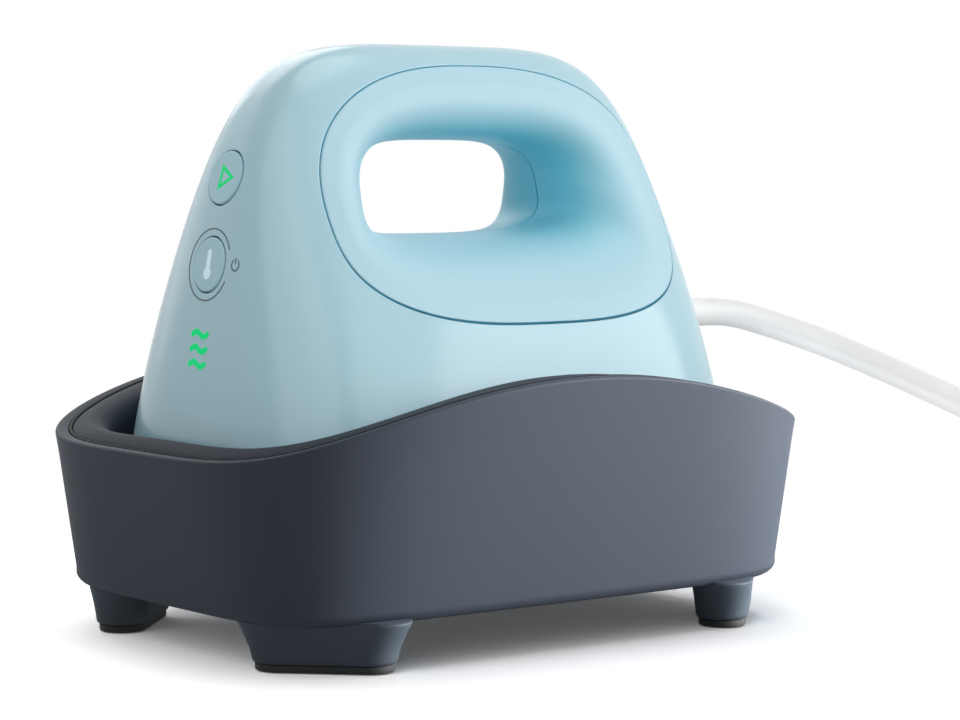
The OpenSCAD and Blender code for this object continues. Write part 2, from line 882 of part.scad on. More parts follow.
module terminal_block() {
    color("#d7d3c6")
        difference() {
            translate([terminal_x, -terminal_w / 2, chassis_z + chassis_t])
                cube([terminal_len, terminal_w, terminal_h]);
            for (k = [-1 : 1])
                translate([terminal_x + terminal_len / 2, k * 5.5, chassis_z + chassis_t + terminal_h / 2])
                    cylinder(d = 3.4, h = terminal_h);
        }
}

module strain_relief() {
    color("#e3e4e4")
        translate([0, 0, cord_z])
            rotate([0, 90, 0])
                rotate_extrude()
                    polygon([
                        [0, terminal_x + terminal_len + fit],
                        [cord_d / 2, terminal_x + terminal_len + fit],
                        [cord_d / 2, boot_x - 8],
                        [boot_hole_d / 2 + 2.5, boot_x - 8],
                        [boot_hole_d / 2 + 2.5, boot_x - 4.5],
                        [boot_hole_d / 2, boot_x - 4.5],
                        [boot_hole_d / 2, boot_x + 1.5],
                        [boot_d / 2, boot_x + 1.5],
                        [boot_d / 2, boot_x + 4],
                        [boot_tip_d / 2, boot_x + boot_len],
                        [0, boot_x + boot_len]]);
}

// Push buttons

module button_body(z) {
    on_front(z) {
        translate([0, 0, -cap_t])
            cylinder(d = button_d, h = cap_t + cap_proud);
        translate([0, 0, -cap_t - rim_t])
            cylinder(d = rim_d, h = rim_t);
        translate([0, 0, -stem_end])
            cylinder(d = stem_d, h = stem_end - cap_t);
    }
}

module play_outline(grow) {
    tall = 6.9;
    wide = 6.4;
    stroke = 0.95;
    difference() {
        offset(delta = grow)
            polygon([[-tall / 2, wide / 3], [tall / 2, wide / 3], [0, -wide * 2 / 3]]);
        offset(delta = -stroke - grow)
            polygon([[-tall / 2, wide / 3], [tall / 2, wide / 3], [0, -wide * 2 / 3]]);
    }
}

module thermometer_outline(grow) {
    tall = 7.7;
    bulb = 3.2;
    tube = 1.8;
    translate([-tall / 2 + bulb / 2, 0])
        circle(d = bulb + 2 * grow);
    translate([-tall / 2 + bulb / 2, -tube / 2 - grow])
        square([tall - bulb / 2 - tube / 2, tube + 2 * grow]);
    translate([tall / 2 - tube / 2, 0])
        circle(d = tube + 2 * grow);
}

module start_button() {
    color("#9fc4cf")
        difference() {
            button_body(start_z);
            on_front(start_z)
                translate([0, 0, cap_proud - inlay_t])
                    linear_extrude(inlay_t + 1)
                        play_outline(inlay_gap);
        }
}

module start_light() {
    color("#18c878")
        on_front(start_z)
            translate([0, 0, cap_proud - inlay_t + inlay_gap])
                linear_extrude(inlay_t)
                    play_outline(0);
}

module heat_button() {
    color("#9fc4cf")
        difference() {
            button_body(heat_z);
            on_front(heat_z)
                translate([0, 0, cap_proud - inlay_t])
                    linear_extrude(inlay_t + 1)
                        thermometer_outline(inlay_gap);
        }
}

module heat_light() {
    color("#e8f4f6")
        on_front(heat_z)
            translate([0, 0, cap_proud - inlay_t + inlay_gap])
                linear_extrude(inlay_t)
                    thermometer_outline(0);
}

// Power cord

function unit(v) = v / norm(v);
function ring_at(p, dir, d, sides) = let(
        side = unit(cross([0, 0, 1], dir)),
        up = cross(dir, side))
    [for (k = [0 : sides - 1]) let(a = 360 * (k + 0.5) / sides)
        p + d / 2 * (cos(a) * side + sin(a) * up)];
function heading(path, i, first, last) =
    i == 0 ? first
    : i == len(path) - 1 ? last
    : unit(unit(path[i + 1] - path[i]) + unit(path[i] - path[i - 1]));
module swept_tube(path, first, last, d, sides) {
    m = len(path);
    cup_loft(path[0],
        [for (i = [0 : m - 1]) ring_at(path[i], heading(path, i, first, last), d, sides)],
        path[m - 1]);
}

cord_end = route[len(route) - 1];
entry_dir = [cos(entry_turn), sin(entry_turn), 0];
coil_start = cord_end + cord_d * entry_dir;
coil_mid = coil_start + coil_out_r * [-sin(entry_turn), cos(entry_turn), 0];
coil_steps = ceil(coil_turns * coil_rings);
coil_angle = entry_turn - 90;
function climb(u) = let(k = min(1, max(0, 2 * (u - coil_turns / 2) + 0.5)))
    coil_pitch * (1 - cos(180 * k)) / 2;
function coil_point(u) = let(
        r = coil_in_r + coil_pitch * abs(u - coil_turns / 2),
        a = coil_angle + 360 * u)
    [coil_mid.x + r * cos(a), coil_mid.y + r * sin(a), cord_rest + climb(u)];
coil_last = coil_angle + 360 * coil_turns;
coil_exit = [-sin(coil_last), cos(coil_last), 0];
coil_line = concat([cord_end + coil_meet * entry_dir],
    [for (i = [0 : coil_steps]) coil_point(coil_turns * i / coil_steps)],
    [coil_point(coil_turns) + coil_tail * coil_exit]);
coil_gaps = [for (i = [0 : len(coil_line) - 1]) for (j = [i + coil_rings / 3 : len(coil_line) - 1])
    norm(coil_line[i] - coil_line[j]) - cord_d];
echo("least gap of the coil to itself", min(coil_gaps));

module power_cord() {
    color("#e9e9e7")
        swept_tube(route, [1, 0, 0], entry_dir, cord_d, 12);
}

module cord_coil() {
    color("#e9e9e7")
        swept_tube(coil_line, entry_dir, coil_exit, cord_d, 6);
}

module plug() {
    z = cord_rest + coil_pitch;
    color("#e9e9e7")
        translate([coil_line[len(coil_line) - 1].x, coil_line[len(coil_line) - 1].y, z])
            rotate([0, 0, coil_last])
                rotate([-90, 0, 0]) {
                    rotate_extrude()
                        polygon([[0, 0], [cord_d / 2 + 1, 0], [z - 3, plug_len * 0.35],
                            [z - 1, plug_len * 0.55], [z - 1, plug_len], [0, plug_len]]);
                    for (s = [-1, 1])
                        translate([s * pin_gap / 2 - pin.x / 2, -pin.y / 2, plug_len - 0.5])
                            cube(pin);
                }
}

base_tub();
base_liner();
base_bottom();
foot_pads();
base_screws();
base_insulation();
cradle_pads();
press_shell();
handle_trim_right();
handle_trim_left();
plate_surround();
heat_plate();
heater();
plate_insulation();
heat_shield();
thermistor();
thermal_fuse();
chassis();
plate_screws();
chassis_screws();
power_board();
board_screws();
control_board();
start_switch();
heat_switch();
heat_lights();
terminal_block();
strain_relief();
start_button();
start_light();
heat_button();
heat_light();
power_cord();
cord_coil();
plug();
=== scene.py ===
"""Looks of a hand-held cap heat press that rests in its insulated base.

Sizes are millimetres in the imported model's own frame, and are turned to metres where a mesh is made.
"""

import logging
import math
from dataclasses import dataclass
from enum import Enum
from typing import Callable, Optional, Sequence

import bmesh
import bpy
from mathutils import Matrix, Vector


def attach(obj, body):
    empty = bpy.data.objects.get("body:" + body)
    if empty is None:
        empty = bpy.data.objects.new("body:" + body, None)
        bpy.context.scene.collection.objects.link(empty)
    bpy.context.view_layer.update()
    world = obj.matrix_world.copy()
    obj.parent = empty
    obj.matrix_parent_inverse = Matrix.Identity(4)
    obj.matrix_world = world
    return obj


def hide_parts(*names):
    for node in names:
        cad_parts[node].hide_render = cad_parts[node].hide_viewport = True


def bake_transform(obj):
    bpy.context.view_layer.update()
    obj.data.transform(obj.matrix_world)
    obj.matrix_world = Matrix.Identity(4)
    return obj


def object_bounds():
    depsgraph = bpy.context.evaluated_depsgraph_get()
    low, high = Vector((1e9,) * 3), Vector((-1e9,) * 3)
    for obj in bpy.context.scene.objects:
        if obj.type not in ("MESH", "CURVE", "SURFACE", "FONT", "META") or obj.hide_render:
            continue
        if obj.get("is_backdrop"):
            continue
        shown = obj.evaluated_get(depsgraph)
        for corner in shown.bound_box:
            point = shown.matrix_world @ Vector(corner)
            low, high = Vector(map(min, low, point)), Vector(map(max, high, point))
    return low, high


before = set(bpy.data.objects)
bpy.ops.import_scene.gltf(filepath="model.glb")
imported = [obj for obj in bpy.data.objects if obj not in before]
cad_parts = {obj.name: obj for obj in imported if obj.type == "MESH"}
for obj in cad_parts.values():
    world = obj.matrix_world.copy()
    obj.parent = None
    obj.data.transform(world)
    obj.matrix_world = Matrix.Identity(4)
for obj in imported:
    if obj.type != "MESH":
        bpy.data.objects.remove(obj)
CAD_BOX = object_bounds()
LOG = logging.getLogger("cap_press")

MM = 0.001
MM_PER_M = 1000
# Points nearer than this, in metres, are one
WELD = 2e-6
# Shift that spreads the points of an oval evenly along its flats
EVEN = math.radians(11.5)
# Mesh attribute of the trims' painted shade in the scoop, and the value up to which that painted shade is
# fullest
SHADE_MARK = "mark"
SHADE_MARK_LOW = 0.15
# Strength of each material's bump, whose height is its relief
BUMP = 0.6
# Share by which a brushed grain is finer across than along
BRUSH_STRETCH = 0.04
BORE_STEPS = 72
CORNER_STEPS = 5
# Halvings that find a place on a skin
HALVINGS = 50

Place = Callable[[float, float], Vector]
Loop = Callable[[float], Vector]
Mark = Callable[[float, float], float]


def squared(value: float, power: float) -> float:
    """Squares off a sine or cosine for a rounded oval.

    Args:
        value: Sine or cosine of the angle.
        power: Squareness, 2 for an ellipse.

    Returns:
        The squared-off value, with its sign kept.
    """
    return math.copysign(abs(value) ** (2 / power), value)


def evened(share: float) -> float:
    """Angle at a share of a full turn, evened out along an oval's flats."""
    angle = math.tau * share
    return angle - EVEN * math.sin(4 * angle)


def smooth_line(points: Sequence[Vector], per: int) -> list[Vector]:
    """Runs one smooth curve through a line of points.

    Args:
        points: Points that the curve passes through.
        per: Steps between two neighbouring points.

    Returns:
        The points along the curve, both ends included.
    """
    ends = [points[0] * 2 - points[1], *points, points[-1] * 2 - points[-2]]
    line = []
    for a, b, c, d in zip(ends, ends[1:], ends[2:], ends[3:]):
        for step in range(per):
            k = step / per
            line.append(0.5 * (2 * b + (c - a) * k + (2 * a - 5 * b + 4 * c - d) * k * k
                               + (3 * b - a - 3 * c + d) * k ** 3))
    return [*line, points[-1]]


@dataclass(frozen=True)
class PressForm:
    """Form of the press: lofted body, arches under it and the outlines of its handle."""

    top: float = 154.0
    foot_z: float = 36.0
    length: float = 157.6
    width: float = 114.0
    top_width: float = 54.0
    lean: float = 15.2
    mid_x: float = 0.8
    plan_power: float = 3.4
    end_power: float = 4.8
    side_power: float = 2.9
    plate_z: float = 52.0
    plate_radius: float = 165.0
    edge_share: float = 0.97
    shell_edge: float = 11.0
    opening_x: float = 1.2
    opening_z: float = 116.6
    opening_len: float = 70.0
    opening_h: float = 24.8
    opening_lean: float = 2.6
    opening_power: float = 3.4
    trim_x: float = 4.3
    trim_z: float = 104.2
    trim_len: float = 111.6
    trim_up: float = 44.0
    trim_drop: float = 21.8
    trim_lean: float = 4.0
    trim_up_power: float = 2.44
    trim_down_power: float = 2.82
    flare_power: float = 2.5
    flare_end: float = 82.0
    half_seam: float = 0.18
    search: float = 8.0

    def share(self, z: float, inset: float) -> float:
        """Share of the body's height at z, for a body that is smaller by inset."""
        return min(1.0, max(0.0, (z - self.foot_z) / (self.top - inset - self.foot_z)))

    def half_length(self, z: float, inset: float = 0.0) -> float:
        """Half length of the body at height z."""
        h = self.share(z, inset)
        round_off = (1 - h ** self.end_power) ** (1 / self.end_power)
        return (self.length / 2 - inset - self.lean * h) * round_off

    def half_width(self, z: float, inset: float = 0.0) -> float:
        """Half width of the body at height z."""
        h = self.share(z, inset)
        round_off = (1 - h ** self.side_power) ** (1 / self.side_power)
        swing = (self.width - self.top_width) / 4 * math.cos(math.pi * h)
        return ((self.width + self.top_width) / 4 - inset + swing) * round_off

    def body(self, angle: float, z: float, inset: float = 0.0) -> Vector:
        """Point of the body at an angle of its oval and a height."""
        x = self.half_length(z, inset) * squared(math.cos(angle), self.plan_power)
        y = self.half_width(z, inset) * squared(math.sin(angle), self.plan_power)
        return Vector((self.mid_x + x, y, z))

    def side_y(self, x: float, z: float, inset: float = 0.0) -> float:
        """Half width of the body at a place of its side view, 0 outside it."""
        half = self.half_length(z, inset)
        if half <= abs(x - self.mid_x):
            return 0.0
        flat = 1 - (abs(x - self.mid_x) / half) ** self.plan_power
        return self.half_width(z, inset) * flat ** (1 / self.plan_power)

    def end_x(self, y: float, z: float, side: int, inset: float = 0.0) -> float:
        """Place along X of the body's front (side -1) or back (side 1) face."""
        flat = 1 - (abs(y) / self.half_width(z, inset)) ** self.plan_power
        return self.mid_x + side * self.half_length(z, inset) * flat ** (1 / self.plan_power)

    def arch(self, rise: float, x: float) -> float:
        """Height at x of the arch that lies rise above the hot plate's working face."""
        radius = self.plate_radius + rise
        return self.plate_z - self.plate_radius + math.sqrt(radius * radius - x * x)

    def edge_z(self, angle: float, rise: float) -> float:
        """Height of an arched edge of the body at an angle of its oval."""
        half = self.length / 2 * self.edge_share
        return self.arch(rise, half * squared(math.cos(angle), self.plan_power))

    def edge(self, angle: float, rise: float, inset: float = 0.0) -> Vector:
        """Point of an arched edge of the body."""
        return self.body(angle, self.edge_z(angle, rise), inset)

    def opening(self, angle: float, grow: float) -> Vector:
        """Point of the hand opening's outline, in X and Z."""
        up = squared(math.sin(angle), self.opening_power)
        half = self.opening_len / 2 + grow - self.opening_lean * up
        x = self.opening_x + half * squared(math.cos(angle), self.opening_power)
        return Vector((x, self.opening_z + (self.opening_h / 2 + grow) * up))

    def trim(self, angle: float, grow: float) -> Vector:
        """Point of the handle trim's outline, in X and Z."""
        rising = math.sin(angle) > 0
        power = self.trim_up_power if rising else self.trim_down_power
        up = squared(math.sin(angle), power)
        tall = (self.trim_up if rising else self.trim_drop) + grow
        half = self.trim_len / 2 + grow + self.trim_lean * up
        return Vector((self.trim_x + half * squared(math.cos(angle), power), self.trim_z + tall * up))

    def flare(self, angle: float, share: float, inset: float = 0.0) -> Vector:
        """Point of a trim's flared skin.

        Args:
            angle: Angle of the outlines.
            share: 0 at the opening's middle, 1 where the scoop meets the trim's flat border.
            inset: Depth under the skin.

        Returns:
            The point.
        """
        turn = math.radians(self.flare_end * share)
        across = 1 - math.cos(turn) ** (2 / self.flare_power)
        out = math.sin(turn) ** (2 / self.flare_power)
        at = self.opening(angle, inset).lerp(self.trim(angle, 0.0), across)
        y = self.half_seam + (self.side_y(at.x, at.y, inset) - self.half_seam) * out
        return Vector((at.x, y, at.y))

    def trim_edge(self, angle: float, grow: float, inset: float) -> Vector:
        """Point beside the trim's edge, moved out by grow and under the skin by inset."""
        at = self.trim(angle, grow)
        return Vector((at.x, self.side_y(at.x, at.y, inset), at.y))

    def front_frame(self, z: float) -> tuple[Vector, Vector, Vector]:
        """Frame of the front face at a height.

        Args:
            z: Height on the front's middle line.

        Returns:
            The point on the face, the way out of the face and the way up it.
        """
        half = 0.5
        tilt = math.atan((self.end_x(0, z + half, -1) - self.end_x(0, z - half, -1)) / (2 * half))
        out = Vector((-math.cos(tilt), 0, math.sin(tilt)))
        return Vector((self.end_x(0, z, -1), 0, z)), out, Vector((math.sin(tilt), 0, math.cos(tilt)))

    def on_front(self, z: float, up: float, side: float, lift: float = 0.0) -> Vector:
        """Point of the front skin beside a place on its middle line.

        Args:
            z: Height of that place.
            up: Distance up the face.
            side: Distance to the viewer's right, who looks at the front.
            lift: Height above the skin.

        Returns:
            The point.
        """
        at, out, rise = self.front_frame(z)
        start = at + rise * up + Vector((0, -side, 0))
        low, high = -self.search, self.search
        for _ in range(HALVINGS):
            depth = (low + high) / 2
            point = start - out * depth
            inside = point.x > self.end_x(point.y, point.z, -1)
            low, high = (low, depth) if inside else (depth, high)
        return start - out * (high - lift)


@dataclass(frozen=True)
class BaseForm:
    """Form of the insulated base: leaning wall, waved rim, arched cradle and feet."""

    length: float = 170.0
    width: float = 120.0
    lean: float = 0.18
    foot_h: float = 11.8
    rim_end_z: float = 51.2
    rim_mid_z: float = 70.0
    foot_power: float = 5.7
    rim_power: float = 4.3
    cradle_z: float = 52.0
    cradle_radius: float = 165.0
    crown: float = 2.8
    crown_run: float = 1.15
    crown_power: float = 0.6

    def wave(self, angle: float) -> float:
        """Share of the rim's rise: 0 at both ends, 1 at the middle of the long sides."""
        return math.cos(math.pi / 2 * squared(math.cos(angle), self.rim_power))

    def crown_rise(self, angle: float) -> float:
        """Rise of the liner's rounded rim, which runs out towards the long sides."""
        return self.crown * (1 - self.crown_run * max(0.0, self.wave(angle)) ** self.crown_power)

    def rim(self, angle: float, inset: float, up: float) -> Vector:
        """Point beside the waved rim, moved in by inset and up."""
        z = self.rim_end_z + (self.rim_mid_z - self.rim_end_z) * self.wave(angle)
        grow = self.lean * (z - self.foot_h) - inset
        x = (self.length / 2 + grow) * squared(math.cos(angle), self.rim_power)
        y = (self.width / 2 + grow) * squared(math.sin(angle), self.rim_power)
        return Vector((x, y, z + up))

    def foot(self, angle: float, inset: float, up: float) -> Vector:
        """Point beside the wall's lower edge, moved in by inset and up."""
        x = (self.length / 2 - inset) * squared(math.cos(angle), self.foot_power)
        y = (self.width / 2 - inset) * squared(math.sin(angle), self.foot_power)
        return Vector((x, y, self.foot_h + up))

    def wall(self, angle: float, share: float, inset: float) -> Vector:
        """Point of the leaning wall at a share of its height."""
        return self.foot(angle, inset, 0).lerp(self.rim(angle, inset, 0), share)

    def cradle(self, angle: float, inset: float, share: float, drop: float, up: float = 0.0) -> Vector:
        """Point of the cradle's arched floor, at a share of the way out from its middle."""
        grow_x = self.lean * (self.rim_end_z - self.foot_h) - inset
        grow_y = self.lean * (self.rim_mid_z - self.foot_h) - inset
        x = share * (self.length / 2 + grow_x) * squared(math.cos(angle), self.rim_power)
        y = share * (self.width / 2 + grow_y) * squared(math.sin(angle), self.rim_power)
        radius = self.cradle_radius - drop
        z = self.cradle_z - self.cradle_radius + math.sqrt(radius * radius - x * x)
        return Vector((x, y, z + up))


def skin(around: int, across: int, place: Place, mark: Optional[Mark] = None) -> bmesh.types.BMesh:
    """Lays a grid over a form.

    Args:
        around: Steps along the grid's first way, which may close on itself.
        across: Steps along its second way.
        place: Gives the point in millimetres at a share of each way.
        mark: Gives the points' mark, which a material reads, at a share of each way.

    Returns:
        The mesh, welded where the grid meets itself.
    """
    bm = bmesh.new()
    bmesh.ops.create_grid(bm, x_segments=around, y_segments=across, size=0.5)
    layer = bm.verts.layers.float.new(SHADE_MARK) if mark else None
    for vert in bm.verts:
        u, v = vert.co.x + 0.5, vert.co.y + 0.5
        vert.co = place(u, v) * MM
        if mark:
            vert[layer] = mark(u, v)
    bmesh.ops.remove_doubles(bm, verts=bm.verts, dist=WELD)
    return bm


def loft(loops: Sequence[Loop], around: int, closed: bool, even: bool = True,
         marks: Optional[Mark] = None) -> bmesh.types.BMesh:
    """Joins loops of one angle each to a skin.

    Args:
        loops: Functions of the angle, in order.
        around: Points round each loop.
        closed: Whether the last loop joins the first.
        even: Whether the angle is evened out along an oval's flats.
        marks: Gives the mark at an angle and a loop's number, for the material.

    Returns:
        The mesh.
    """
    across = len(loops) if closed else len(loops) - 1

    def row(v: float) -> int:
        """Number of the loop at a share of the way across."""
        return round(v * across) % len(loops)

    def turned(u: float) -> float:
        """Angle at a share of the turn."""
        return evened(u) if even else math.tau * u

    def place(u: float, v: float) -> Vector:
        """Point of a loop at a share of the turn."""
        return loops[row(v)](turned(u))

    return skin(around, across, place, (lambda u, v: marks(turned(u), row(v))) if marks else None)


def revolve(profile: Sequence[tuple[float, float]], steps: int, place: Matrix) -> bmesh.types.BMesh:
    """Spins a profile about its own Z and puts it in place.

    Args:
        profile: Radius and height of each corner, both ends on the axis or the line closed.
        steps: Steps of the turn.
        place: Frame of the piece, in millimetres.

    Returns:
        The mesh.
    """
    bm = bmesh.new()
    verts = [bm.verts.new((r, 0, z)) for r, z in profile]
    edges = [bm.edges.new(pair) for pair in zip(verts, verts[1:])]
    bmesh.ops.spin(bm, geom=[*verts, *edges], cent=(0, 0, 0), axis=(0, 0, 1), angle=math.tau,
                   steps=steps, use_merge=True)
    bmesh.ops.remove_doubles(bm, verts=bm.verts, dist=WELD / MM)
    bmesh.ops.transform(bm, matrix=Matrix.Scale(MM, 4) @ place, verts=bm.verts)
    return bm


def round_corner(at: Vector, radius: float, start: float, end: float) -> list[tuple[float, float]]:
    """Points of an arc round a centre, between two angles in degrees."""
    shares = [k / CORNER_STEPS for k in range(CORNER_STEPS + 1)]
    turns = [math.radians(start + (end - start) * share) for share in shares]
    return [(at.x + radius * math.cos(t), at.y + radius * math.sin(t)) for t in turns]


def linear(code: str) -> tuple[float, float, float, float]:
    """Turns an sRGB hex colour to linear values."""
    parts = [int(code[i:i + 2], 16) / 255 for i in (1, 3, 5)]
    return (*(c / 12.92 if c <= 0.04045 else ((c + 0.055) / 1.055) ** 2.4 for c in parts), 1.0)


def add(tree: bpy.types.NodeTree, kind: str, inputs: Optional[dict] = None, **settings) -> bpy.types.Node:
    """Adds a node, with its settings, values and links.

    Args:
        tree: Node tree that takes the node.
        kind: Type of the node.
        inputs: Value or output socket for each input, by name or number.
        settings: Properties of the node.

    Returns:
        The node.
    """
    node = tree.nodes.new(kind)
    for key, value in settings.items():
        setattr(node, key, value)
    for key, value in (inputs or {}).items():
        if isinstance(value, bpy.types.NodeSocket):
            tree.links.new(value, node.inputs[key])
        else:
            node.inputs[key].default_value = value
    return node


class Texture(Enum):
    """How a surface was made, which gives it its fine relief."""

    MOULDED = "moulded"
    BRUSHED = "brushed"
    FELTED = "felted"
    ETCHED = "etched"


@dataclass(frozen=True)
class Finish:
    """One material: what it is, and what its surface gives the eye."""

    name: str
    colour: str
    shade: str
    roughness: float
    rough_spread: float = 0.04
    texture: Texture = Texture.MOULDED
    grain_mm: float = 0.5
    relief_mm: float = 0.01
    cloud_mm: float = 45.0
    ior: float = 1.5
    metallic: float = 0.0
    coat: float = 0.0
    coat_roughness: float = 0.08
    sheen: float = 0.0
    # Colour blended in by the mesh's shade mark: painted shade, not the material's own colour
    deep: str = ""
    glow: str = ""
    glow_strength: float = 0.0

    def material(self) -> bpy.types.Material:
        """Makes the material, or finds it where it was made before.

        Returns:
            The material.
        """
        found = bpy.data.materials.get(self.name)
        if found:
            return found
        made = bpy.data.materials.new(self.name)
        made.use_nodes = True
        tree = made.node_tree
        tree.nodes.clear()
        where = add(tree, "ShaderNodeTexCoord").outputs["Object"]
        cloud = add(tree, "ShaderNodeTexNoise",
                    {"Vector": where, "Scale": MM_PER_M / self.cloud_mm, "Detail": 3.0})
        colour = add(tree, "ShaderNodeMix",
                     {0: cloud.outputs["Fac"], 6: linear(self.shade), 7: linear(self.colour)},
                     data_type="RGBA")
        # Painted shade: the colour turns to the deep colour where the mesh's shade mark is low
        if self.deep:
            mark = add(tree, "ShaderNodeAttribute", attribute_name=SHADE_MARK)
            rise = add(tree, "ShaderNodeMapRange", {0: mark.outputs["Fac"], 1: SHADE_MARK_LOW, 2: 1.0},
                       interpolation_type="SMOOTHSTEP")
            colour = add(tree, "ShaderNodeMix",
                         {0: rise.outputs[0], 6: linear(self.deep), 7: colour.outputs[2]},
                         data_type="RGBA")
        grain = self.grain(tree, where)
        rough = add(tree, "ShaderNodeMapRange", {0: grain, 3: self.roughness - self.rough_spread,
                                                4: self.roughness + self.rough_spread})
        bump = add(tree, "ShaderNodeBump",
                   {"Height": grain, "Strength": BUMP, "Distance": self.relief_mm * MM})
        inputs = {"Base Color": colour.outputs[2], "Roughness": rough.outputs[0],
                  "Normal": bump.outputs[0], "Metallic": self.metallic, "IOR": self.ior,
                  "Coat Weight": self.coat, "Coat Roughness": self.coat_roughness,
                  "Sheen Weight": self.sheen}
        if self.glow:
            inputs.update({"Emission Color": linear(self.glow), "Emission Strength": self.glow_strength})
        shader = add(tree, "ShaderNodeBsdfPrincipled", inputs)
        add(tree, "ShaderNodeOutputMaterial", {"Surface": shader.outputs[0]})
        return made

    def grain(self, tree: bpy.types.NodeTree, where: bpy.types.NodeSocket) -> bpy.types.NodeSocket:
        """Adds the surface's fine relief at its real scale.

        Args:
            tree: The material's nodes.
            where: Object coordinates, in metres.

        Returns:
            The relief's height, from 0 to 1.
        """
        scale = MM_PER_M / self.grain_mm
        if self.texture is Texture.BRUSHED:
            drawn = add(tree, "ShaderNodeMapping", {"Vector": where, "Scale": (BRUSH_STRETCH, 1.0, 1.0)})
            lines = add(tree, "ShaderNodeTexNoise", {"Vector": drawn.outputs[0], "Scale": scale})
            return lines.outputs["Fac"]
        if self.texture is Texture.FELTED:
            bent = add(tree, "ShaderNodeTexNoise", {"Vector": where, "Scale": scale / 6, "Detail": 4.0})
            fibres = add(tree, "ShaderNodeTexWave", {
                "Vector": where, "Scale": scale / 3, "Distortion": 14.0,
                "Phase Offset": bent.outputs["Fac"]})
            return fibres.outputs["Fac"]
        if self.texture is Texture.ETCHED:
            tracks = add(tree, "ShaderNodeTexBrick", {
                "Vector": where, "Scale": scale, "Mortar Size": 0.03, "Mortar": (1, 1, 1, 1),
                "Color1": (0.2, 0.2, 0.2, 1), "Color2": (0.3, 0.3, 0.3, 1)})
            return tracks.outputs["Color"]
        grit = add(tree, "ShaderNodeTexNoise", {"Vector": where, "Scale": scale, "Detail": 2.0})
        return grit.outputs["Fac"]


# Gloss-moulded ABS: smooth, with soft-edged reflections and a faint unevenness of the mould.
SHELL_ABS = Finish("gloss_abs_pale_blue", "#add2de", "#a8cfdb", 0.2, 0.02, grain_mm=1.2, relief_mm=0.001)
# The trims come from a satin mould, so their light is broader; their fuller blue down in the scoop is
# painted shade, standing in for light bounced between the opening's walls.
TRIM_ABS = Finish("satin_abs_blue", "#b2d5e1", "#acd1dd", 0.46, 0.03, grain_mm=0.9, relief_mm=0.003,
                  deep="#76d2e6")
# A thin deep-teal strip in the trims' seams is painted shade, standing in for the dark, bounced blue down
# in each seam's gap, so that each seam reads as one drawn line.
SEAM_SHADE_STRIP = Finish("painted_seam_shade_teal", "#007e9c", "#007795", 0.6, 0.04, grain_mm=0.8, relief_mm=0.003,
                   ior=1.4)
# Heat-resisting nylon of the collar beside the hot plate: darker, and duller than the shell.
COLLAR_NYLON = Finish("satin_nylon_teal", "#7d9ea9", "#76979f", 0.42, 0.04, grain_mm=0.7, relief_mm=0.004)
# Soft-touch paint on the base: a fine even grit that spreads every reflection.
SLATE_SOFT = Finish("soft_touch_slate", "#404753", "#3c434e", 0.6, 0.05, grain_mm=0.6, relief_mm=0.006,
                    ior=1.3)
# The liner is moulded in a darker slate without the paint, so it is duller.
SLATE_LINER = Finish("moulded_slate", "#393f49", "#353b44", 0.66, 0.05, grain_mm=0.6, relief_mm=0.006,
                     ior=1.25)
# The bottom and its feet are moulded slate with a coarser grit; their paler colour is painted light,
# lifting the shaded feet in place of the floor's bounce.
SLATE_FLOOR = Finish("moulded_slate_floor", "#4a545f", "#46505a", 0.6, 0.05, grain_mm=0.8, relief_mm=0.012,
                     ior=1.35)
# Cast rubber: nearly black and dull, with a faint bloom.
PAD_RUBBER = Finish("black_rubber", "#1a1b1e", "#141517", 0.72, 0.06, grain_mm=0.9, relief_mm=0.02,
                    sheen=0.15)
# The black strip in the rim's groove is painted shadow, standing in for the groove's own shadow; it is
# finished as extruded rubber, black and without the bloom.
RIM_SHADE_RUBBER = Finish("black_rim_shade_strip", "#0c0d0f", "#090a0b", 0.7, 0.05, grain_mm=0.9, relief_mm=0.01,
                     ior=1.35)
# Cast silicone of the cradle's pads: dark and soft, with a faint velvet light.
CRADLE_SILICONE = Finish("dark_silicone", "#26292e", "#202327", 0.55, 0.05, grain_mm=1.0, relief_mm=0.01,
                         sheen=0.2)
# Cast aluminium under a smooth release coat: a grey metal with a soft wide glint.
PLATE_COAT = Finish("coated_aluminium", "#aeb1b6", "#a4a7ac", 0.32, 0.05, grain_mm=0.5, relief_mm=0.004,
                    metallic=0.85)
# Drawn steel tube, tinted by heat.
HEATER_STEEL = Finish("tinted_steel", "#77706a", "#5f5a57", 0.4, 0.08, Texture.BRUSHED, grain_mm=0.4,
                      relief_mm=0.006, metallic=1.0)
# Rolled zinc-coated sheet, with fine lines along the roll.
SHEET_STEEL = Finish("zinc_sheet", "#c3c6ca", "#b1b5ba", 0.36, 0.08, Texture.BRUSHED, grain_mm=0.5,
                     relief_mm=0.004, metallic=1.0)
# Zinc-plated screws, a shade darker than the sheet.
SCREW_STEEL = Finish("zinc_screw", "#a8abb0", "#90949a", 0.34, 0.08, Texture.BRUSHED, grain_mm=0.3,
                     relief_mm=0.004, metallic=1.0)
# Needled mineral wool: pale, matt and full of crossing fibres.
WOOL_FELT = Finish("mineral_felt", "#dcd5c2", "#c9c1ab", 0.95, 0.03, Texture.FELTED, grain_mm=1.5,
                   relief_mm=0.25, cloud_mm=12, sheen=0.3)
# Glass-epoxy board under green mask, with raised copper tracks.
BOARD_EPOXY = Finish("green_circuit_board", "#2c6b45", "#25603c", 0.4, 0.08, Texture.ETCHED, grain_mm=4.0,
                     relief_mm=0.05)
# Moulded nylon of the switches: black and satin.
SWITCH_NYLON = Finish("black_nylon", "#2a2c30", "#222427", 0.5, 0.05, grain_mm=0.5, relief_mm=0.006)
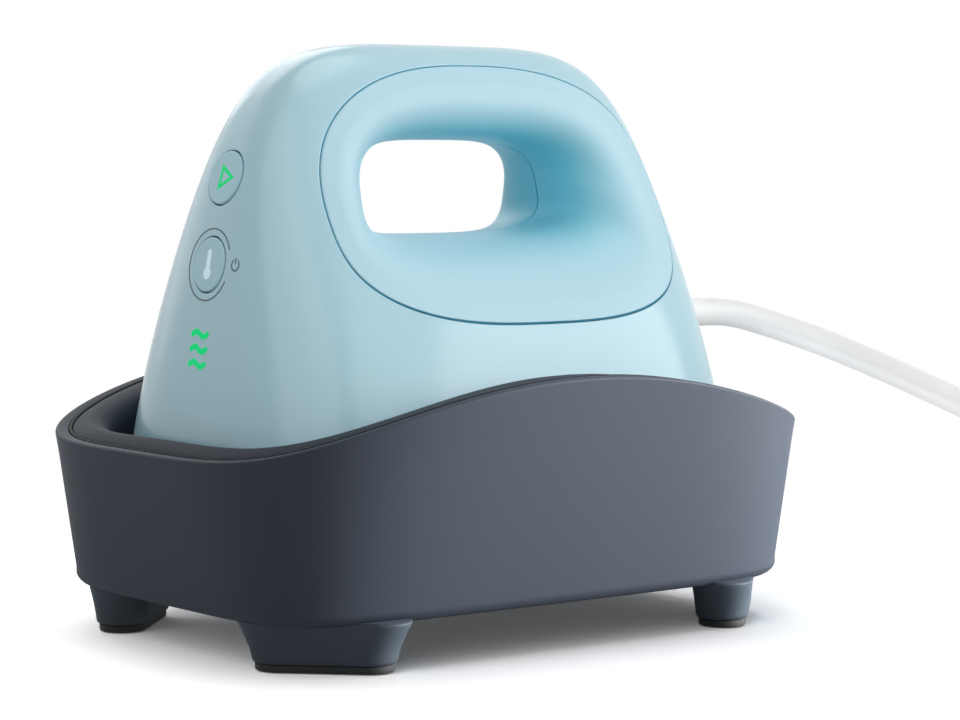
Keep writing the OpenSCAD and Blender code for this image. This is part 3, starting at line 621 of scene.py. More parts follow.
# Glass bead of the sensor: amber, under a wet-looking gloss.
SENSOR_GLASS = Finish("amber_glass_bead", "#c98f45", "#b67a33", 0.12, 0.04, grain_mm=0.8, relief_mm=0.002,
                      coat=0.6)
# Fired steatite: pale, dense and unglazed.
PALE_CERAMIC = Finish("steatite_ceramic", "#ddd7c8", "#d2cbba", 0.5, 0.05, grain_mm=0.6, relief_mm=0.008)
# Light guides: clear plastic, lit evenly from behind, or pale where the light is off; the unlit guide's
# faint glow is painted light.
GREEN_LIGHT = Finish("lit_green_guide", "#006a3d", "#006439", 0.5, 0.03, grain_mm=0.8, relief_mm=0.002,
                     ior=1.2, glow="#00d87c", glow_strength=0.74)
# Painted light: the unlit guide glows faintly though its light is off
WHITE_LIGHT = Finish("unlit_pale_guide", "#d6edf4", "#cfe9f1", 0.3, 0.03, grain_mm=0.8, relief_mm=0.002,
                     glow="#b4e0ee", glow_strength=0.18)
# The buttons are moulded in the shell's ABS with a satin face.
BUTTON_ABS = Finish("satin_abs_button", "#aad1dd", "#a5cdda", 0.32, 0.03, grain_mm=0.8, relief_mm=0.002,
                    ior=1.45)
# Screen-printed ink: a dull thin layer.
PRINT_INK = Finish("grey_print_ink", "#62757d", "#505f67", 0.6, 0.05, grain_mm=0.3, relief_mm=0.002)
# Soft PVC of the lead and its plug: smooth and nearly white, with a satin light.
CORD_PVC = Finish("white_pvc", "#f4f4f4", "#f0f0f0", 0.45, 0.04, grain_mm=0.7, relief_mm=0.004,
                  cloud_mm=60)
# Nickel-plated blades of the plug: a bright metal, drawn lengthwise.
BLADE_NICKEL = Finish("nickel_plate", "#c9c8c3", "#bcbab4", 0.24, 0.06, Texture.BRUSHED, grain_mm=0.4,
                      relief_mm=0.003, metallic=1.0)
# Woven hook-and-loop strap.
TIE_FABRIC = Finish("black_strap_fabric", "#2a2b2e", "#1f2022", 0.9, 0.04, Texture.FELTED, grain_mm=1.0,
                    relief_mm=0.12, cloud_mm=8, sheen=0.3)

# Nodes whose own solids stay in view, with their finish
DRESSED = {
    "base_screws": SCREW_STEEL, "plate_screws": SCREW_STEEL, "chassis_screws": SCREW_STEEL,
    "board_screws": SCREW_STEEL, "base_insulation": WOOL_FELT, "plate_insulation": WOOL_FELT,
    "cradle_pads": CRADLE_SILICONE, "heat_plate": PLATE_COAT, "heater": HEATER_STEEL,
    "heat_shield": SHEET_STEEL, "chassis": SHEET_STEEL, "thermistor": SENSOR_GLASS,
    "thermal_fuse": PALE_CERAMIC, "terminal_block": PALE_CERAMIC, "power_board": BOARD_EPOXY,
    "control_board": BOARD_EPOXY, "start_switch": SWITCH_NYLON, "heat_switch": SWITCH_NYLON,
    "heat_lights": GREEN_LIGHT, "start_light": GREEN_LIGHT, "heat_light": WHITE_LIGHT,
}


def make_piece(bm: bmesh.types.BMesh, name: str, finish: Finish) -> bpy.types.Object:
    """Makes an object of a mesh, smooth and with its finish.

    Args:
        bm: The mesh, which is used up.
        name: Name of the piece.
        finish: Its material.

    Returns:
        The object.
    """
    bmesh.ops.recalc_face_normals(bm, faces=bm.faces)
    mesh = bpy.data.meshes.new(name)
    bm.to_mesh(mesh)
    bm.free()
    mesh.polygons.foreach_set("use_smooth", [True] * len(mesh.polygons))
    mesh.materials.append(finish.material())
    piece = bpy.data.objects.new(name, mesh)
    bpy.context.scene.collection.objects.link(piece)
    return piece


def settle(piece: bpy.types.Object, body: str, slot: str, *nodes: str) -> bpy.types.Object:
    """Sets a piece on its body and hides the nodes it stands for."""
    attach(piece, body)
    if nodes:
        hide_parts(*nodes)
    LOG.info("%s rides on %s", piece.name, body)
    return piece


def thicken(piece: bpy.types.Object, wall: float, edge: float) -> None:
    """Gives a skin its wall towards the inside and rounds its edges, in millimetres."""
    solid = piece.modifiers.new("wall", "SOLIDIFY")
    solid.thickness = wall * MM
    solid.offset = -1.0
    solid.use_even_offset = True
    round_edges(piece, edge)


def round_edges(piece: bpy.types.Object, edge: float, angle: float = 40.0) -> None:
    """Rounds a piece's sharp edges, in millimetres, and keeps its wide faces even."""
    bevel = piece.modifiers.new("edge", "BEVEL")
    bevel.width = edge * MM
    bevel.segments = 3
    bevel.limit_method = "ANGLE"
    bevel.angle_limit = math.radians(angle)
    bevel.harden_normals = False
    even_faces(piece)


def even_faces(piece: bpy.types.Object) -> None:
    """Keeps wide faces even beside small rounded edges."""
    even = piece.modifiers.new("even", "WEIGHTED_NORMAL")
    even.keep_sharp = False
    even.weight = 80


def absorb(whole: bmesh.types.BMesh, part: bmesh.types.BMesh, places: Sequence[Matrix]) -> None:
    """Adds copies of a mesh to another.

    Args:
        whole: The mesh that grows.
        part: The mesh that is copied, which is used up.
        places: Place of each copy, in metres.
    """
    mesh = bpy.data.meshes.new("part")
    part.to_mesh(mesh)
    part.free()
    for place in places:
        have = set(whole.verts)
        whole.from_mesh(mesh)
        fresh = [vert for vert in whole.verts if vert not in have]
        bmesh.ops.transform(whole, matrix=place, verts=fresh)
    bpy.data.meshes.remove(mesh)


def open_bore(bm: bmesh.types.BMesh, at: Vector, axis: Vector, radius: float, reach: float,
              settle_point: Callable[[Vector], Vector]) -> None:
    """Opens a round bore in a skin.

    Args:
        bm: The skin, in metres.
        at: Point of the bore's axis on the skin, in millimetres.
        axis: Way out of the bore.
        radius: Radius of the bore, in millimetres.
        reach: Radius up to which the skin's own faces give way.
        settle_point: Puts a point of the bore's edge on the skin, in millimetres.
    """
    def off(co: Vector) -> float:
        """Distance of a point from the bore's axis, far for points at another side."""
        way = co / MM - at
        along = way.dot(axis)
        return (way - axis * along).length if abs(along) < 3 * reach else math.inf

    near = {face for face in bm.faces if min(off(vert.co) for vert in face.verts) < reach}
    rim = [edge for edge in {e for face in near for e in face.edges}
           if sum(face in near for face in edge.link_faces) == 1]
    bmesh.ops.delete(bm, geom=list(near), context="FACES")
    turn = axis.to_track_quat("Z", "Y").to_matrix().to_4x4()
    ring = bmesh.ops.create_circle(bm, segments=BORE_STEPS, radius=radius,
                                   matrix=Matrix.Translation(at) @ turn)["verts"]
    for vert in ring:
        vert.co = settle_point(vert.co) * MM
    edges = {edge for vert in ring for edge in vert.link_edges}
    bmesh.ops.bridge_loops(bm, edges=[*rim, *edges])


@dataclass
class PressShell:
    """Outer shell of the press: one skin over the body, open at the trims, buttons and cord."""

    form: PressForm
    wall: float = 2.5
    seam: float = 0.4
    edge: float = 0.35
    rise_power: float = 3.5
    per_span: int = 52
    rings: int = 44
    button_r: float = 7.35
    start_z: float = 119.3
    heat_z: float = 97.4
    cord_z: float = 80.0
    boot_r: float = 6.4
    give: float = 1.0
    # Angles of the trim's outline, and the turn and rise of the skin's border that they run out to
    spans: tuple = ((50, 130, (0, 1), (1, 1)), (130, 215, (1, 1), (1, 0)),
                    (215, 325, (1, 0), (0, 0)), (325, 410, (0, 0), (0, 1)))

    def skin_point(self, turn: float, rise: float) -> Vector:
        """Point of one half of the skin.

        Args:
            turn: 0 at the back to 1 at the front.
            rise: 0 at the lower edge to 1 on the middle line.

        Returns:
            The point.
        """
        angle = evened(turn / 2)
        low = self.form.edge_z(angle, self.form.shell_edge)
        z = low + (self.form.top - low) * (1 - (1 - rise) ** self.rise_power)
        return self.form.body(angle, z)

    def turn_and_rise(self, at: Vector) -> tuple[float, float]:
        """Finds a point of the side view on the skin.

        Args:
            at: The point's X and Z.

        Returns:
            Its turn and rise.
        """
        across = (at.x - self.form.mid_x) / self.form.half_length(at.y)
        angle = math.acos(math.copysign(abs(across) ** (self.form.plan_power / 2), across))
        low, high = 0.0, 1.0
        for _ in range(HALVINGS):
            turn = (low + high) / 2
            low, high = (turn, high) if evened(turn / 2) < angle else (low, turn)
        foot = self.form.edge_z(angle, self.form.shell_edge)
        return low, 1 - (1 - (at.y - foot) / (self.form.top - foot)) ** (1 / self.rise_power)

    def build(self) -> bpy.types.Object:
        """Builds the shell from the trim's edge out to its lower edge and its middle line.

        Returns:
            The piece.
        """
        around = self.per_span * len(self.spans)
        starts, ends = [], []
        for step in range(around + 1):
            span, k = divmod(step, self.per_span)
            first, last, a, b = self.spans[span % len(self.spans)]
            angle = math.radians(first + (last - first) * k / self.per_span)
            starts.append(Vector(self.turn_and_rise(self.form.trim(angle, self.seam))))
            ends.append(Vector(a).lerp(Vector(b), k / self.per_span))

        def place(u: float, v: float) -> Vector:
            """Point between the trim's edge and the skin's own border."""
            step = round(u * around)
            return self.skin_point(*starts[step].lerp(ends[step], v))

        bm = skin(around, self.rings, place)
        bmesh.ops.mirror(bm, geom=[*bm.verts, *bm.edges, *bm.faces], matrix=Matrix(), merge_dist=WELD,
                         axis="Y")
        bmesh.ops.remove_doubles(bm, verts=bm.verts, dist=WELD)
        for z in (self.start_z, self.heat_z):
            at, out, rise = self.form.front_frame(z)
            open_bore(bm, at, out, self.button_r, self.button_r + self.give,
                      lambda co: self.form.on_front(z, (co - at).dot(rise), -co.y))
        back = Vector((self.form.end_x(0, self.cord_z, 1), 0, self.cord_z))
        open_bore(bm, back, Vector((1, 0, 0)), self.boot_r, self.boot_r + self.give,
                  lambda co: Vector((self.form.end_x(co.y, co.z, 1), co.y, co.z)))
        piece = make_piece(bm, "press_shell_skin", SHELL_ABS)
        thicken(piece, self.wall, self.edge)
        return settle(piece, "press", "shell_plastic", "press_shell")


@dataclass
class HandleTrims:
    """Two flared trims that meet inside the hand opening, each with a border and a teal strip in its seam
    that paints the seam's shade.
    """

    form: PressForm
    wall: float = 2.2
    edge: float = 0.3
    seam: float = 0.4
    # Depth, fit and rounding of the teal strip that paints each seam's shade
    strip_depth: float = 0.3
    strip_fit: float = 0.02
    strip_edge: float = 0.05
    border: float = 0.7
    lip: float = 0.6
    lip_depth: float = 0.3
    back_share: float = 0.97
    # Angle of the outline where the scoop's painted shade is fullest, and its least share on the far side
    shade_angle: float = 40.0
    least_shade: float = 0.3
    under: float = 2.2
    around: int = 208
    outer_steps: int = 44
    inner_steps: int = 14

    def build(self) -> list[bpy.types.Object]:
        """Builds both trims and the strips that paint their seams' shade.

        Returns:
            The pieces.
        """
        pieces = []
        for name, side in (("left", 1), ("right", -1)):
            node = f"handle_trim_{name}"
            # The second piece is the teal strip that paints the seam's shade
            made = ((self.trim(), f"{node}_skin", TRIM_ABS, self.edge, [node]),
                    (self.shade_strip(), f"seam_seal_{name}", SEAM_SHADE_STRIP, self.strip_edge, []))
            for bm, label, finish, edge, nodes in made:
                bmesh.ops.scale(bm, vec=(1, side, 1), verts=bm.verts)
                piece = make_piece(bm, label, finish)
                round_edges(piece, edge)
                pieces.append(settle(piece, "press", "trim_plastic", *nodes))
        return pieces

    def trim(self) -> bmesh.types.BMesh:
        """Lofts one trim: its scooped skin, its border and its back."""
        form = self.form
        skin_shares = [k / self.outer_steps for k in range(self.outer_steps + 1)]
        back = self.back_share
        back_shares = [back - back * k / self.inner_steps for k in range(self.inner_steps + 1)]
        edge = ((-self.border, 0.0), (0.0, 0.0), (0.0, self.under),
                (-self.lip, self.under + self.lip_depth))
        loops: list[Loop] = [lambda t, k=k: form.flare(t, k) for k in skin_shares]
        loops += [lambda t, g=grow, i=inset: form.trim_edge(t, g, i) for grow, inset in edge]
        loops += [lambda t, k=k: form.flare(t, k, self.wall) for k in back_shares]
        shares = [*skin_shares, *(1.0 for _ in edge), *back_shares]

        def mark(angle: float, row: int) -> float:
            """Mark of the scoop's painted shade: 0 where the painted shade is fullest, 1 where it is pale.
            """
            full = (1 + math.cos(angle - math.radians(self.shade_angle))) / 2
            return 1 - (1 - shares[row]) * (self.least_shade + (1 - self.least_shade) * full)

        return loft(loops, self.around, True, even=False, marks=mark)

    def shade_strip(self) -> bmesh.types.BMesh:
        """Lofts the teal strip that paints the shade in one trim's seam."""
        near, far = self.strip_fit, self.seam - self.strip_fit
        corners = ((near, self.strip_depth), (far, self.strip_depth), (far, self.under), (near, self.under))
        loops: list[Loop] = [lambda t, g=grow, i=inset: self.form.trim_edge(t, g, i)
                             for grow, inset in corners]
        return loft(loops, self.around, True, even=False)


@dataclass
class Collar:
    """Collar between the shell and the hot plate."""

    form: PressForm
    wall: float = 2.5
    gap: float = 0.3
    fit: float = 0.2
    inset: float = 0.8
    web_low: float = 2.0
    web_t: float = 2.6
    lip_h: float = 6.0
    lip_t: float = 2.0
    hole_len: float = 128.6
    hole_w: float = 77.6
    hole_power: float = 5.0
    corner: float = 1.2
    corner_mid: float = 0.35
    edge: float = 0.3
    around: int = 192

    def hole(self, angle: float, rise: float) -> Vector:
        """Point of the edge round the hot plate."""
        x = self.hole_len / 2 * squared(math.cos(angle), self.hole_power)
        y = self.hole_w / 2 * squared(math.sin(angle), self.hole_power)
        return Vector((x, y, self.form.arch(rise, x)))

    def on_arch(self, point: Vector, rise: float) -> Vector:
        """Drops a point onto an arch."""
        return Vector((point.x, point.y, self.form.arch(rise, point.x)))

    def build(self) -> bpy.types.Object:
        """Builds the collar as one closed ring.

        Returns:
            The piece.
        """
        form, inner = self.form, self.wall + 2 * self.fit
        low, edge, high = self.web_low, form.shell_edge, self.web_low + self.web_t
        mid = self.corner_mid
        loops = [
            lambda t: self.hole(t, low),
            lambda t: self.on_arch(form.edge(t, edge, self.inset + self.corner), low),
            lambda t: self.on_arch(form.edge(t, edge, self.inset + mid), low + mid),
            lambda t: self.on_arch(form.edge(t, edge, self.inset), low + self.corner),
            lambda t: form.edge(t, edge - self.gap, 0),
            lambda t: form.edge(t, edge - self.gap, inner),
            lambda t: form.edge(t, edge + self.lip_h, inner),
            lambda t: form.edge(t, edge + self.lip_h, inner + self.lip_t),
            lambda t: self.on_arch(form.edge(t, edge - self.gap, inner + self.lip_t), high),
            lambda t: self.hole(t, high),
        ]
        piece = make_piece(loft(loops, self.around, True), "plate_collar", COLLAR_NYLON)
        round_edges(piece, self.edge)
        return settle(piece, "press", "collar_plastic", "plate_surround")


@dataclass
class PushButtons:
    """Two push buttons on the front, with the print round the lower one."""

    form: PressForm
    start_z: float = 119.3
    heat_z: float = 97.4
    cap_r: float = 7.0
    cap_t: float = 3.6
    proud: float = 0.2
    edge: float = 0.45
    rim_r: float = 8.2
    rim_t: float = 1.6
    stem_r: float = 2.5
    stem_end: float = 7.8
    arc_r: float = 9.2
    arc_gap: float = 26.0
    ink_w: float = 0.36
    ink_t: float = 0.04
    sign_side: float = 11.6
    sign_up: float = 0.2
    sign_r: float = 1.45
    sign_arc: tuple = (125, 415)
    bar_span: tuple = (0.15, 1.25)
    flat_share: float = 0.55
    soft_edge: float = 0.12
    around: int = 96
    ink_steps: int = 64

    def build(self) -> list[bpy.types.Object]:
        """Builds the buttons and the prints.

        Returns:
            The pieces.
        """
        made = [self.cap("start_button", self.start_z), self.cap("heat_button", self.heat_z)]
        span = 180 - self.arc_gap
        made.append(self.print_arc("heat_print_arc", 0, 0, self.arc_r, 180 - span, 180 + span))
        made.append(self.print_arc("power_print_arc", self.sign_up, self.sign_side, self.sign_r,
                                   *self.sign_arc))
        ends = [self.sign_up + self.sign_r * share for share in self.bar_span]
        made.append(self.print_bar("power_print_bar", *ends))
        return made

    def cap(self, node: str, z: float) -> bpy.types.Object:
        """Builds one button as a turned cap with its rim and stem."""
        at, out, _ = self.form.front_frame(z)
        place = Matrix.Translation(at) @ out.to_track_quat("Z", "X").to_matrix().to_4x4()
        corner = Vector((self.cap_r - self.edge, self.proud - self.edge))
        under, rim_end = -self.cap_t, -self.cap_t - self.rim_t
        profile = [(0, self.proud), (self.cap_r * self.flat_share, self.proud),
                   *round_corner(corner, self.edge, 90, 0), (self.cap_r, under), (self.rim_r, under),
                   (self.rim_r, rim_end), (self.stem_r, rim_end), (self.stem_r, -self.stem_end),
                   (0, -self.stem_end)]
        piece = make_piece(revolve(profile, self.around, place), f"{node}_cap", BUTTON_ABS)
        round_edges(piece, self.soft_edge)
        return settle(piece, node, "button_plastic", node)

    def print_arc(self, name: str, up: float, side: float, radius: float, start: float,
                  end: float) -> bpy.types.Object:
        """Prints an arc on the front, between two angles in degrees from the viewer's right."""
        def place(u: float, v: float) -> Vector:
            """Point of the arc's stroke on the skin."""
            turn = math.radians(start + (end - start) * u)
            r = radius + (v - 0.5) * self.ink_w
            return self.form.on_front(self.heat_z, up + r * math.sin(turn), side + r * math.cos(turn),
                                      self.ink_t)

        return self.lay_ink(skin(self.ink_steps, 2, place), name)

    def print_bar(self, name: str, low: float, high: float) -> bpy.types.Object:
        """Prints the upright bar of the power sign."""
        def place(u: float, v: float) -> Vector:
            """Point of the bar's stroke on the skin."""
            return self.form.on_front(self.heat_z, low + (high - low) * u,
                                      self.sign_side + (v - 0.5) * self.ink_w, self.ink_t)

        return self.lay_ink(skin(4, 2, place), name)

    def lay_ink(self, bm: bmesh.types.BMesh, name: str) -> bpy.types.Object:
        """Gives a print its thickness and sets it on the press."""
        if sum((face.normal.x for face in bm.faces), 0.0) > 0:
            bmesh.ops.reverse_faces(bm, faces=bm.faces)
        piece = make_piece(bm, name, PRINT_INK)
        solid = piece.modifiers.new("ink", "SOLIDIFY")
        solid.thickness = 2 * self.ink_t * MM
        solid.offset = 0.0
        return settle(piece, "press", "shell_plastic")


@dataclass
class InsulatedBase:
    """Base: outer tub, liner with the rounded rim and the cradle, bottom with feet, and pads."""

    form: BaseForm
    wall: float = 3.0
    liner_wall: float = 2.6
    rim_w: float = 12.5
    groove: float = 0.8
    # Rise, rounding, depth and fit of the black strip that paints the groove's shadow
    strip_rise: float = 0.22
    strip_edge: float = 0.12
    strip_depth: float = 1.8
    strip_fit: float = 0.04
    edge: float = 3.0
    lip: float = 0.9
    lip_depth: float = 6.0
    flange: float = 9.0
    floor_t: float = 2.5
    draft: float = 0.8
    cradle_drop: float = 4.0
    cradle_round: float = 5.0
    foot_len: float = 36.0
    foot_w: float = 14.0
    foot_spread: float = 7.0
    foot_swell: float = 2.0
    foot_flare: float = 1.35
    foot_x: float = 65.5
    foot_y: float = 45.0
    foot_turn: float = math.pi / 4
    foot_edge: float = 1.0
    foot_root: float = 1.0
    plate_edge: float = 0.4
    soft: float = 0.3
    pad_t: float = 2.0
    pad_inset: float = 0.8
    pad_edge: float = 0.6
    fit: float = 0.2
    wall_shares: tuple = (0.12, 0.25, 0.4, 0.55, 0.7, 0.85)
    inner_share: float = 0.45
    edge_steps: int = 6
    round_steps: int = 5
    floor_steps: int = 8
    around: int = 224
    foot_around: int = 96
    plate_around: int = 128
    pad_around: int = 72

    def build(self) -> list[bpy.types.Object]:
        """Builds the base's pieces.

        Returns:
            The pieces.
        """
        return [self.tub(), self.liner(), self.shade_strip(), self.bottom(), self.pads()]

    def tub(self) -> bpy.types.Object:
        """Builds the outer tub as one closed ring."""
        form = self.form
        loops: list[Loop] = [lambda t: form.foot(t, self.flange, 0)]
        for k in range(self.edge_steps + 1):
            turn = math.pi / 2 * k / self.edge_steps
            inset = self.edge * (1 - math.sin(turn))
            up = self.edge * (1 - math.cos(turn))
            loops.append(lambda t, i=inset, u=up: form.foot(t, i - form.lean * u, u))
        for share in self.wall_shares:
            loops.append(lambda t, s=share: form.wall(t, s, 0))
        for k in range(self.round_steps + 1):
            turn = math.pi / 2 * k / self.round_steps
            inset = self.lip * (1 - math.cos(turn))
            up = -self.lip * (1 - math.sin(turn))
            loops.append(lambda t, i=inset, u=up: form.rim(t, i, u))
        loops += [lambda t: form.rim(t, self.wall - self.soft, 0),
                  lambda t: form.rim(t, self.wall, -self.soft),
                  lambda t: form.rim(t, self.wall, -self.lip_depth),
                  lambda t: form.wall(t, self.inner_share, self.wall),
                  lambda t: form.foot(t, self.edge + self.wall, self.floor_t),
                  lambda t: form.foot(t, self.flange, self.floor_t)]
        piece = make_piece(loft(loops, self.around, True), "base_tub_wall", SLATE_SOFT)
        even_faces(piece)
        return settle(piece, "base", "slate_plastic", "base_tub")

    def liner(self) -> bpy.types.Object:
        """Builds the liner: rounded rim, cradle wall and arched floor in one closed skin."""
        form, out = self.form, self.wall + self.groove
        wall_out = self.rim_w - self.liner_wall
        under = self.cradle_drop + self.liner_wall
        loops: list[Loop] = []
        steps = self.floor_steps
        for k in range(steps + 1):
            loops.append(lambda t, s=k / steps: form.cradle(t, wall_out + self.draft, s, under))
        # Inset, height and share of the crown's rise, from under the rim over its round to the cradle
        corners = [(wall_out, -self.lip_depth, 0), (out + 1.5, -3.0, 0), (out + 0.2, -2.6, 0)]
        end, mid = self.rim_w, (out + self.rim_w) / 2
        crown = smooth_line([Vector(p) for p in (
            (out, -2.2, 0), (out, -0.3, 0), (out + 0.9, 0, 0.35), (out + 3, 0, 0.9), (mid, 0, 1),
            (end - 2.1, 0, 0.75), (end - 0.6, -0.3, 0), (end, -3.0, 0))], 4)
        for inset, up, share in (*corners, *crown):
            loops.append(lambda t, i=inset, u=up, k=share: form.rim(t, i, u + k * form.crown_rise(t)))
        inset = self.rim_w + self.draft
        for k in range(self.round_steps + 1):
            turn = math.pi / 2 * k / self.round_steps
            away = inset + self.cradle_round * (1 - math.cos(turn))
            up = self.cradle_round * (1 - math.sin(turn))
            loops.append(lambda t, a=away, u=up: form.cradle(t, a, 1, self.cradle_drop, u))
        inset += self.cradle_round
        for k in range(1, steps + 1):
            loops.append(lambda t, s=1 - k / steps, i=inset: form.cradle(t, i, s, self.cradle_drop))
        piece = make_piece(loft(loops, self.around, False), "base_liner_rim", SLATE_LINER)
        even_faces(piece)
        return settle(piece, "base", "slate_liner", "base_liner")

    def shade_strip(self) -> bpy.types.Object:
        """Builds the thin black strip in the groove between tub and liner, which paints the groove's
        shadow as its dark line.
        """
        low, high = self.wall + self.strip_fit, self.wall + self.groove - self.strip_fit
        deep, top, edge = -self.strip_depth, self.strip_rise, self.strip_edge
        corners = ((low, deep), (low, top - edge), (low + edge, top), (high - edge, top),
                   (high, top - edge), (high, deep))
        loops: list[Loop] = [lambda t, i=inset, u=up: self.form.rim(t, i, u) for inset, up in corners]
        piece = make_piece(loft(loops, self.around, True), "rim_shade_strip", RIM_SHADE_RUBBER)
        even_faces(piece)
        return settle(piece, "base", "pad_rubber")

    def stadium(self, angle: float, length: float, width: float) -> Vector:
        """Point of a round-ended outline."""
        straight = (length - width) / 2
        return Vector((math.copysign(straight, math.cos(angle)) + width / 2 * math.cos(angle),
                       width / 2 * math.sin(angle)))

    def at_feet(self, one: bmesh.types.BMesh) -> bmesh.types.BMesh:
        """Repeats a foot's mesh at the four corners.

        Args:
            one: The mesh about the foot's own middle, which is used up.

        Returns:
            The mesh of all four.
        """
        places = []
        for sx in (-1, 1):
            for sy in (-1, 1):
                at = Vector((sx * self.foot_x, sy * self.foot_y, 0)) * MM
                turn = Matrix.Rotation(-sx * sy * self.foot_turn, 4, "Z")
                places.append(Matrix.Translation(at) @ turn)
        whole = bmesh.new()
        absorb(whole, one, places)
        return whole

    def foot_loop(self, grow: float, z: float, flare: float = 0.0) -> Loop:
        """Round-ended loop of a foot.

        Args:
            grow: How much larger it is all round.
            z: Its height.
            flare: Share of the foot's widening towards its top.

        Returns:
            The loop.
        """
        def at(angle: float) -> Vector:
            """Point of the loop."""
            flat = self.stadium(angle, self.foot_len + 2 * grow + self.foot_spread * flare,
                                self.foot_w + 2 * grow + self.foot_swell * flare)
            return Vector((flat.x, flat.y, z))

        return at

    def bottom(self) -> bpy.types.Object:
        """Builds the bottom plate with its four flared feet."""
        form = self.form
        tall = form.foot_h - self.pad_t
        edge, low, high = self.foot_edge, self.pad_t, form.foot_h + self.foot_root
        loops: list[Loop] = [lambda t: Vector((0, 0, low)), self.foot_loop(-edge, low),
                             self.foot_loop(-self.soft, low + self.soft), self.foot_loop(0, low + edge)]
        for k in range(1, self.floor_steps + 1):
            share = k / self.floor_steps
            loops.append(self.foot_loop(0, low + edge + (tall - edge) * share, share ** self.foot_flare))
        loops += [self.foot_loop(0, high, 1), lambda t: Vector((0, 0, high))]
        bm = self.at_feet(loft(loops, self.foot_around, False, even=False))
        inset, edge = self.flange + self.fit, self.plate_edge
        plate = loft([lambda t: Vector((0, 0, form.foot_h)), lambda t: form.foot(t, inset + edge, 0),
                      lambda t: form.foot(t, inset, edge), lambda t: form.foot(t, inset, self.floor_t),
                      lambda t: Vector((0, 0, form.foot_h + self.floor_t))], self.plate_around, False)
        absorb(bm, plate, [Matrix()])
        piece = make_piece(bm, "base_bottom_feet", SLATE_FLOOR)
        even_faces(piece)
        return settle(piece, "base", "slate_floor", "base_bottom")

    def pads(self) -> bpy.types.Object:
        """Builds the rubber pads under the feet."""
        grow, edge, soft, top = -self.pad_inset, self.pad_edge, self.soft, self.pad_t
        loops = [lambda t: Vector((0, 0, 0)), self.foot_loop(grow - edge, 0),
                 self.foot_loop(grow - edge / 4, edge / 3), self.foot_loop(grow, edge),
                 self.foot_loop(grow, top - soft), self.foot_loop(grow - soft, top),
                 lambda t: Vector((0, 0, top))]
        bm = self.at_feet(loft(loops, self.pad_around, False, even=False))
        piece = make_piece(bm, "foot_pad_rubbers", PAD_RUBBER)
        even_faces(piece)
        return settle(piece, "base", "pad_rubber", "foot_pads")


